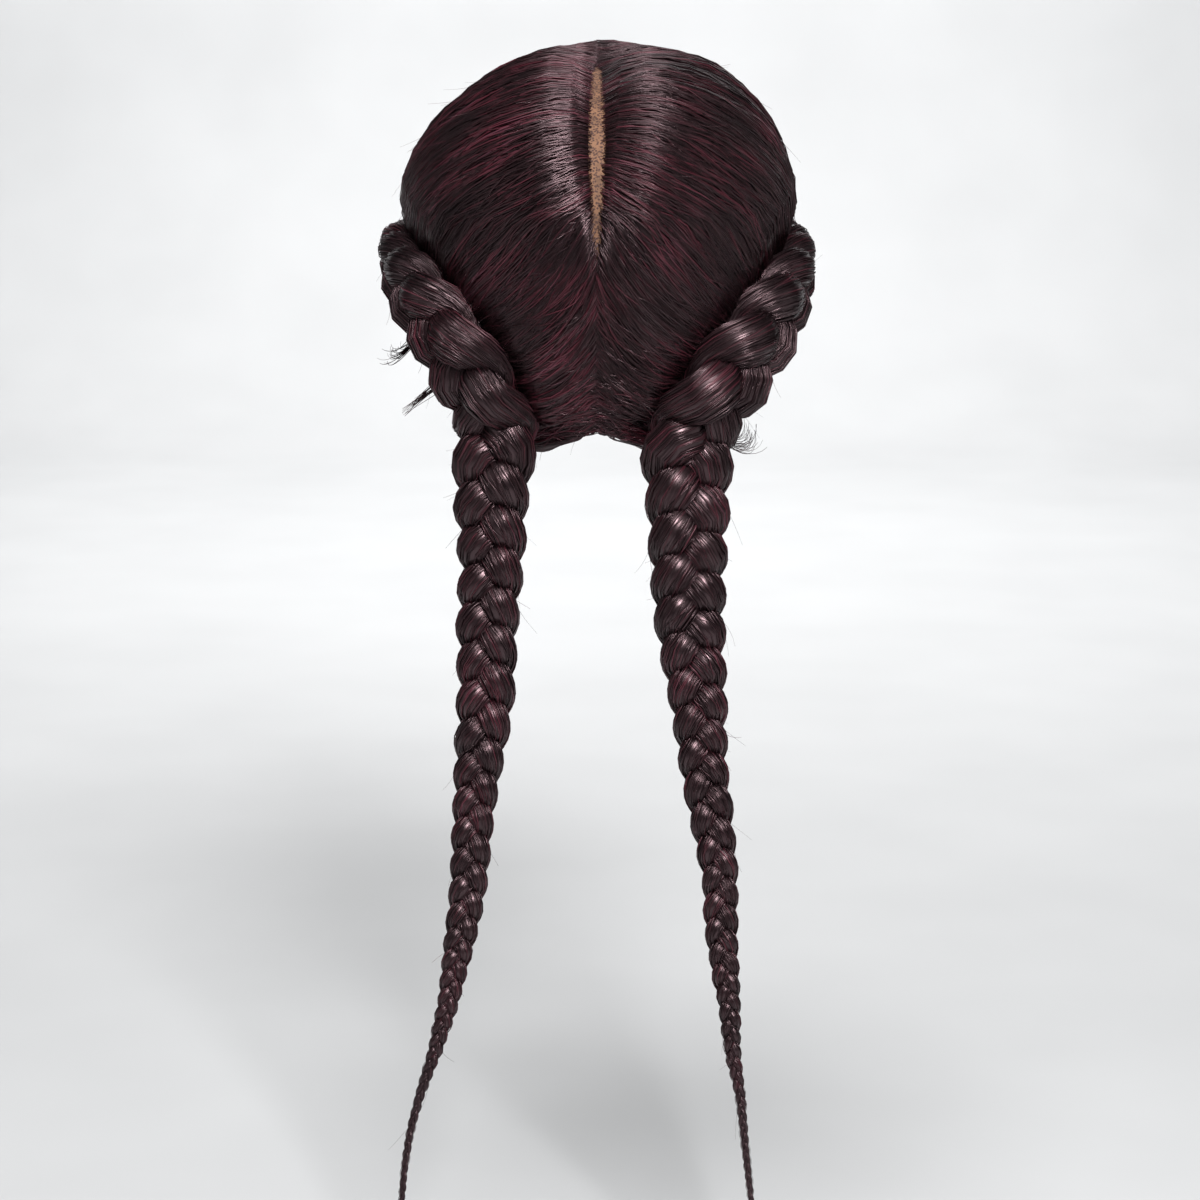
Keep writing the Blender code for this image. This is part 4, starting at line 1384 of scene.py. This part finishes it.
class CapLook(bpy.types.PropertyGroup):
    """Colours of the cap and the lace"""

    cap: FloatVectorProperty(
        name="Cap Net", description="Colour of the cap's net", subtype="COLOR",
        default=(0.030, 0.019, 0.022), min=0.0, max=1.0)
    lace: FloatVectorProperty(
        name="Lace", description="Colour of the lace in the parting", subtype="COLOR",
        default=(0.235, 0.115, 0.062), min=0.0, max=1.0)
    knot: FloatVectorProperty(
        name="Knots", description="Colour of the knots in the lace", subtype="COLOR",
        default=(0.055, 0.022, 0.016), min=0.0, max=1.0)


class WIG_OT_cap(bpy.types.Operator):
    """Build the cap as a smooth shell of net with a bound edge"""

    bl_idname = "braid_wig.cap"
    bl_label = "Cap"

    def execute(self, context):
        turns = (np.arange(CAP_COLUMNS) * 360.0 / CAP_COLUMNS - 180.0)[None, :]
        shares = (np.arange(1, CAP_ROWS + 1) / CAP_ROWS)[:, None]
        turns, shares = np.broadcast_arrays(turns, shares)
        edge = directions_at_heights(turns, smooth_hem(turns))
        line = directions_at(np.degrees(np.arccos(edge[..., 2])) * shares, turns)
        crown = directions_at(0.0, 0.0)
        binding = BINDING_DEPTH * smooth_step(shares, BINDING_STARTS, BINDING_FULL)
        sheets = []
        for depth, top in ((np.zeros(shares.shape), 0.0), (CAP_WALL + binding, CAP_WALL)):
            sheets.append(np.concatenate([[head_point(crown, top)], head_point(line, depth).reshape(-1, 3)]))
        points = np.concatenate(sheets)
        ids = 1 + np.arange(CAP_ROWS * CAP_COLUMNS).reshape(CAP_ROWS, CAP_COLUMNS)
        after = np.roll(ids, -1, axis=1)
        wall = np.stack([ids[:-1], ids[1:], after[1:], after[:-1]], axis=-1).reshape(-1, 4)
        fan = np.stack([np.zeros(CAP_COLUMNS, int), ids[0], after[0]], axis=-1)
        over = len(sheets[0])
        rim = np.stack([ids[-1], ids[-1] + over, after[-1] + over, after[-1]], axis=-1)
        faces = []
        for sheet in (wall + over, wall[:, ::-1], fan + over, fan[:, ::-1], rim[:, ::-1]):
            faces += sheet.tolist()
        material = shared(bpy.data.materials, "cap_net", cap_material, context.scene.wig_cap)
        shell = mesh_object("cap_shell", points.tolist(), faces, material)
        seat(shell, "cap", "cap")
        return {"FINISHED"}


class WIG_OT_lace(bpy.types.Operator):
    """Build the lace of the parting, which runs on a little below the hair on both sides"""

    bl_idname = "braid_wig.lace"
    bl_label = "Parting Lace"

    def execute(self, context):
        tilts = np.linspace(LACE_FIRST_TILT, NAPE_CLOSES, LACE_ROWS + 1)[:, None]
        across = np.linspace(-1.0, 1.0, LACE_COLUMNS + 1)[None, :]
        half = np.maximum(parting_half_widths(tilts), 0.0) + LACE_LAP
        line = np.repeat(directions_at(tilts, 0.0), LACE_COLUMNS + 1, axis=1)
        line[..., 0] = across * half / HEAD_HALF_WIDTH
        line = unit(line)
        top = np.full(line.shape[:2], LACE_DEPTH)
        points, faces = closed_sheet(head_point(line, top - LACE_WALL), head_point(line, top))
        material = shared(bpy.data.materials, "parting_lace_net", lace_material, context.scene.wig_cap)
        strip = mesh_object("lace_strip", points.tolist(), faces.tolist(), material)
        seat(strip, "lace", "parting_lace")
        return {"FINISHED"}


class WIG_OT_hair(bpy.types.Operator):
    """Build the two halves of hair, combed from the parting into the braids"""

    bl_idname = "braid_wig.hair"
    bl_label = "Hair"

    def execute(self, context):
        look = context.scene.wig_hair
        material = shared(bpy.data.materials, "wig_hair", hair_material, look)
        for number, side in enumerate(("left", "right")):
            seed = look.seed + number
            rng = np.random.default_rng(seed)
            feet = seam_feet(side)
            body, streaks = under_sheets(side, feet)
            hairs = scalp_hairs(side, look.scalp_hairs, rng, feet)
            hairs += side_hairs(side, look.side_hairs, rng, feet)
            hairs += stray_hairs(hairs, 2 * look.stray_hairs, rng, lambda point: unit(point - HEAD_CENTRE))
            hairs += wisp_hairs(side, rng)
            hairs += hem_hairs(side, look.hem_hairs, rng)
            piece = hair_piece(f"{side}_combed_hair", body, hairs, streaks, material, look, seed)
            seat(piece, "hair", f"{side}_hair")
        return {"FINISHED"}


class WIG_OT_braids(bpy.types.Operator):
    """Build the three strands of each braid"""

    bl_idname = "braid_wig.braids"
    bl_label = "Braids"

    def execute(self, context):
        look = context.scene.wig_hair
        material = shared(bpy.data.materials, "wig_hair", hair_material, look)
        for side in ("left", "right"):
            braid = Braid(side)
            for index in range(STRANDS):
                seed = look.seed + BRAID_SEED + STRANDS * int(side == "left") + index
                rng = np.random.default_rng(seed)
                form = StrandForm(braid, index)
                body, streaks = strand_body(form, index)
                hairs = strand_hairs(form, look.strand_hairs, rng)
                hairs += stray_hairs(hairs, look.stray_hairs, rng, form.outward_at)
                name = f"{side}_plait_strand_{index + 1}"
                piece = hair_piece(name, body, hairs, streaks, material, look, seed)
                seat(piece, "hair", f"{side}_braid_strand_{index + 1}")
        return {"FINISHED"}


class WIG_OT_stage(bpy.types.Operator):
    """Set up the pale floor and backdrop, the soft lights and the camera"""

    bl_idname = "braid_wig.stage"
    bl_label = "Stage"

    def execute(self, context):
        look = context.scene.wig_stage
        self.paper(look)
        self.lights(context, look)
        self.camera(context)
        return {"FINISHED"}

    def paper(self, look):
        """Floor that curves up into the backdrop."""
        half_width = 3.0
        front = 3.0
        back = -2.3
        curve = 0.5
        height = 2.4
        curve_steps = 12
        floor = look.floor_height
        profile = [(front, floor)]
        for step in range(curve_steps + 1):
            angle = 0.5 * math.pi * step / curve_steps
            profile.append((back - curve * math.sin(angle), floor + curve * (1.0 - math.cos(angle))))
        profile.append((back - curve, floor + height))
        points = [(side * half_width, y, z) for y, z in profile for side in (1.0, -1.0)]
        faces = [(2 * row, 2 * row + 2, 2 * row + 3, 2 * row + 1) for row in range(len(profile) - 1)]
        material = shared(bpy.data.materials, "pale_paper", stage_material)
        paper = mesh_object("paper", points, faces, material)

    def lights(self, context, look):
        """Large soft lights, and an even light all round."""
        wig = Vector((0.0, 0.0, -0.15))
        wall = Vector((0.0, -2.9, -0.25))
        for name, place, aim, size, power in (
            ("key", (-0.35, 1.45, 1.0), wig, 0.5, look.key_power),
            ("top_light", (0.15, 0.55, 1.55), wig, 0.7, look.top_power),
            ("left_fill", (1.5, 0.6, 0.3), wig, 1.2, look.fill_power),
            ("right_fill", (-1.5, 0.6, 0.3), wig, 1.2, look.fill_power),
            ("wall_light", (0.0, -1.5, 1.3), wall, 1.2, look.wall_power),
        ):
            lamp = bpy.data.lights.new(name, "AREA")
            lamp.size = size
            lamp.energy = power
            light = bpy.data.objects.new(name, lamp)
            light.location = place
            light.rotation_euler = (aim - Vector(place)).to_track_quat("-Z", "Y").to_euler()
            context.scene.collection.objects.link(light)
        world = bpy.data.worlds.new("studio")
        world.use_nodes = True
        background = world.node_tree.nodes["Background"]
        background.inputs["Color"].default_value = (0.95, 0.97, 1.0, 1.0)
        background.inputs["Strength"].default_value = look.world_strength
        context.scene.world = world
        context.scene.view_settings.view_transform = "Standard"

    def camera(self, context):
        """Camera at the photograph's angle."""
        back = Vector((0.0, math.cos(CAMERA_PITCH), math.sin(CAMERA_PITCH)))
        lens = bpy.data.cameras.new("camera")
        lens.lens = CAMERA_LENS
        lens.sensor_width = 36.0
        camera = bpy.data.objects.new("camera", lens)
        camera.location = CAMERA_AIM + back * CAMERA_DISTANCE
        camera.rotation_euler = (-back).to_track_quat("-Z", "Y").to_euler()
        context.scene.collection.objects.link(camera)
        context.scene.camera = camera


class WIG_PT_panel(bpy.types.Panel):
    """Braid wig in the sidebar"""

    bl_idname = "WIG_PT_panel"
    bl_label = "Braid Wig"
    bl_space_type = "VIEW_3D"
    bl_region_type = "UI"
    bl_category = "Braid Wig"

    def draw(self, context):
        layout = self.layout
        for label, look in (("Hair", "wig_hair"), ("Cap and Lace", "wig_cap"), ("Stage", "wig_stage")):
            box = layout.box()
            box.label(text=label)
            settings = getattr(context.scene, look)
            for key in settings.__annotations__:
                box.prop(settings, key)
        for operator in OPERATORS:
            layout.operator(operator.bl_idname)


OPERATORS = (WIG_OT_cap, WIG_OT_lace, WIG_OT_hair, WIG_OT_braids, WIG_OT_stage)
LOOKS = {"wig_stage": StageLook, "wig_hair": HairLook, "wig_cap": CapLook}
CLASSES = (*LOOKS.values(), *OPERATORS, WIG_PT_panel)


def register():
    """Add the classes and the looks to Blender."""
    for item in CLASSES:
        bpy.utils.register_class(item)
    for name, look in LOOKS.items():
        setattr(bpy.types.Scene, name, PointerProperty(type=look))


def unregister():
    """Take the looks and the classes out of Blender again."""
    for name in LOOKS:
        delattr(bpy.types.Scene, name)
    for item in reversed(CLASSES):
        bpy.utils.unregister_class(item)


def main():
    """Build the stage and every piece."""
    register()
    bpy.ops.braid_wig.stage()
    bpy.ops.braid_wig.cap()
    bpy.ops.braid_wig.lace()
    bpy.ops.braid_wig.hair()
    bpy.ops.braid_wig.braids()


if __name__ == "__main__":
    main()
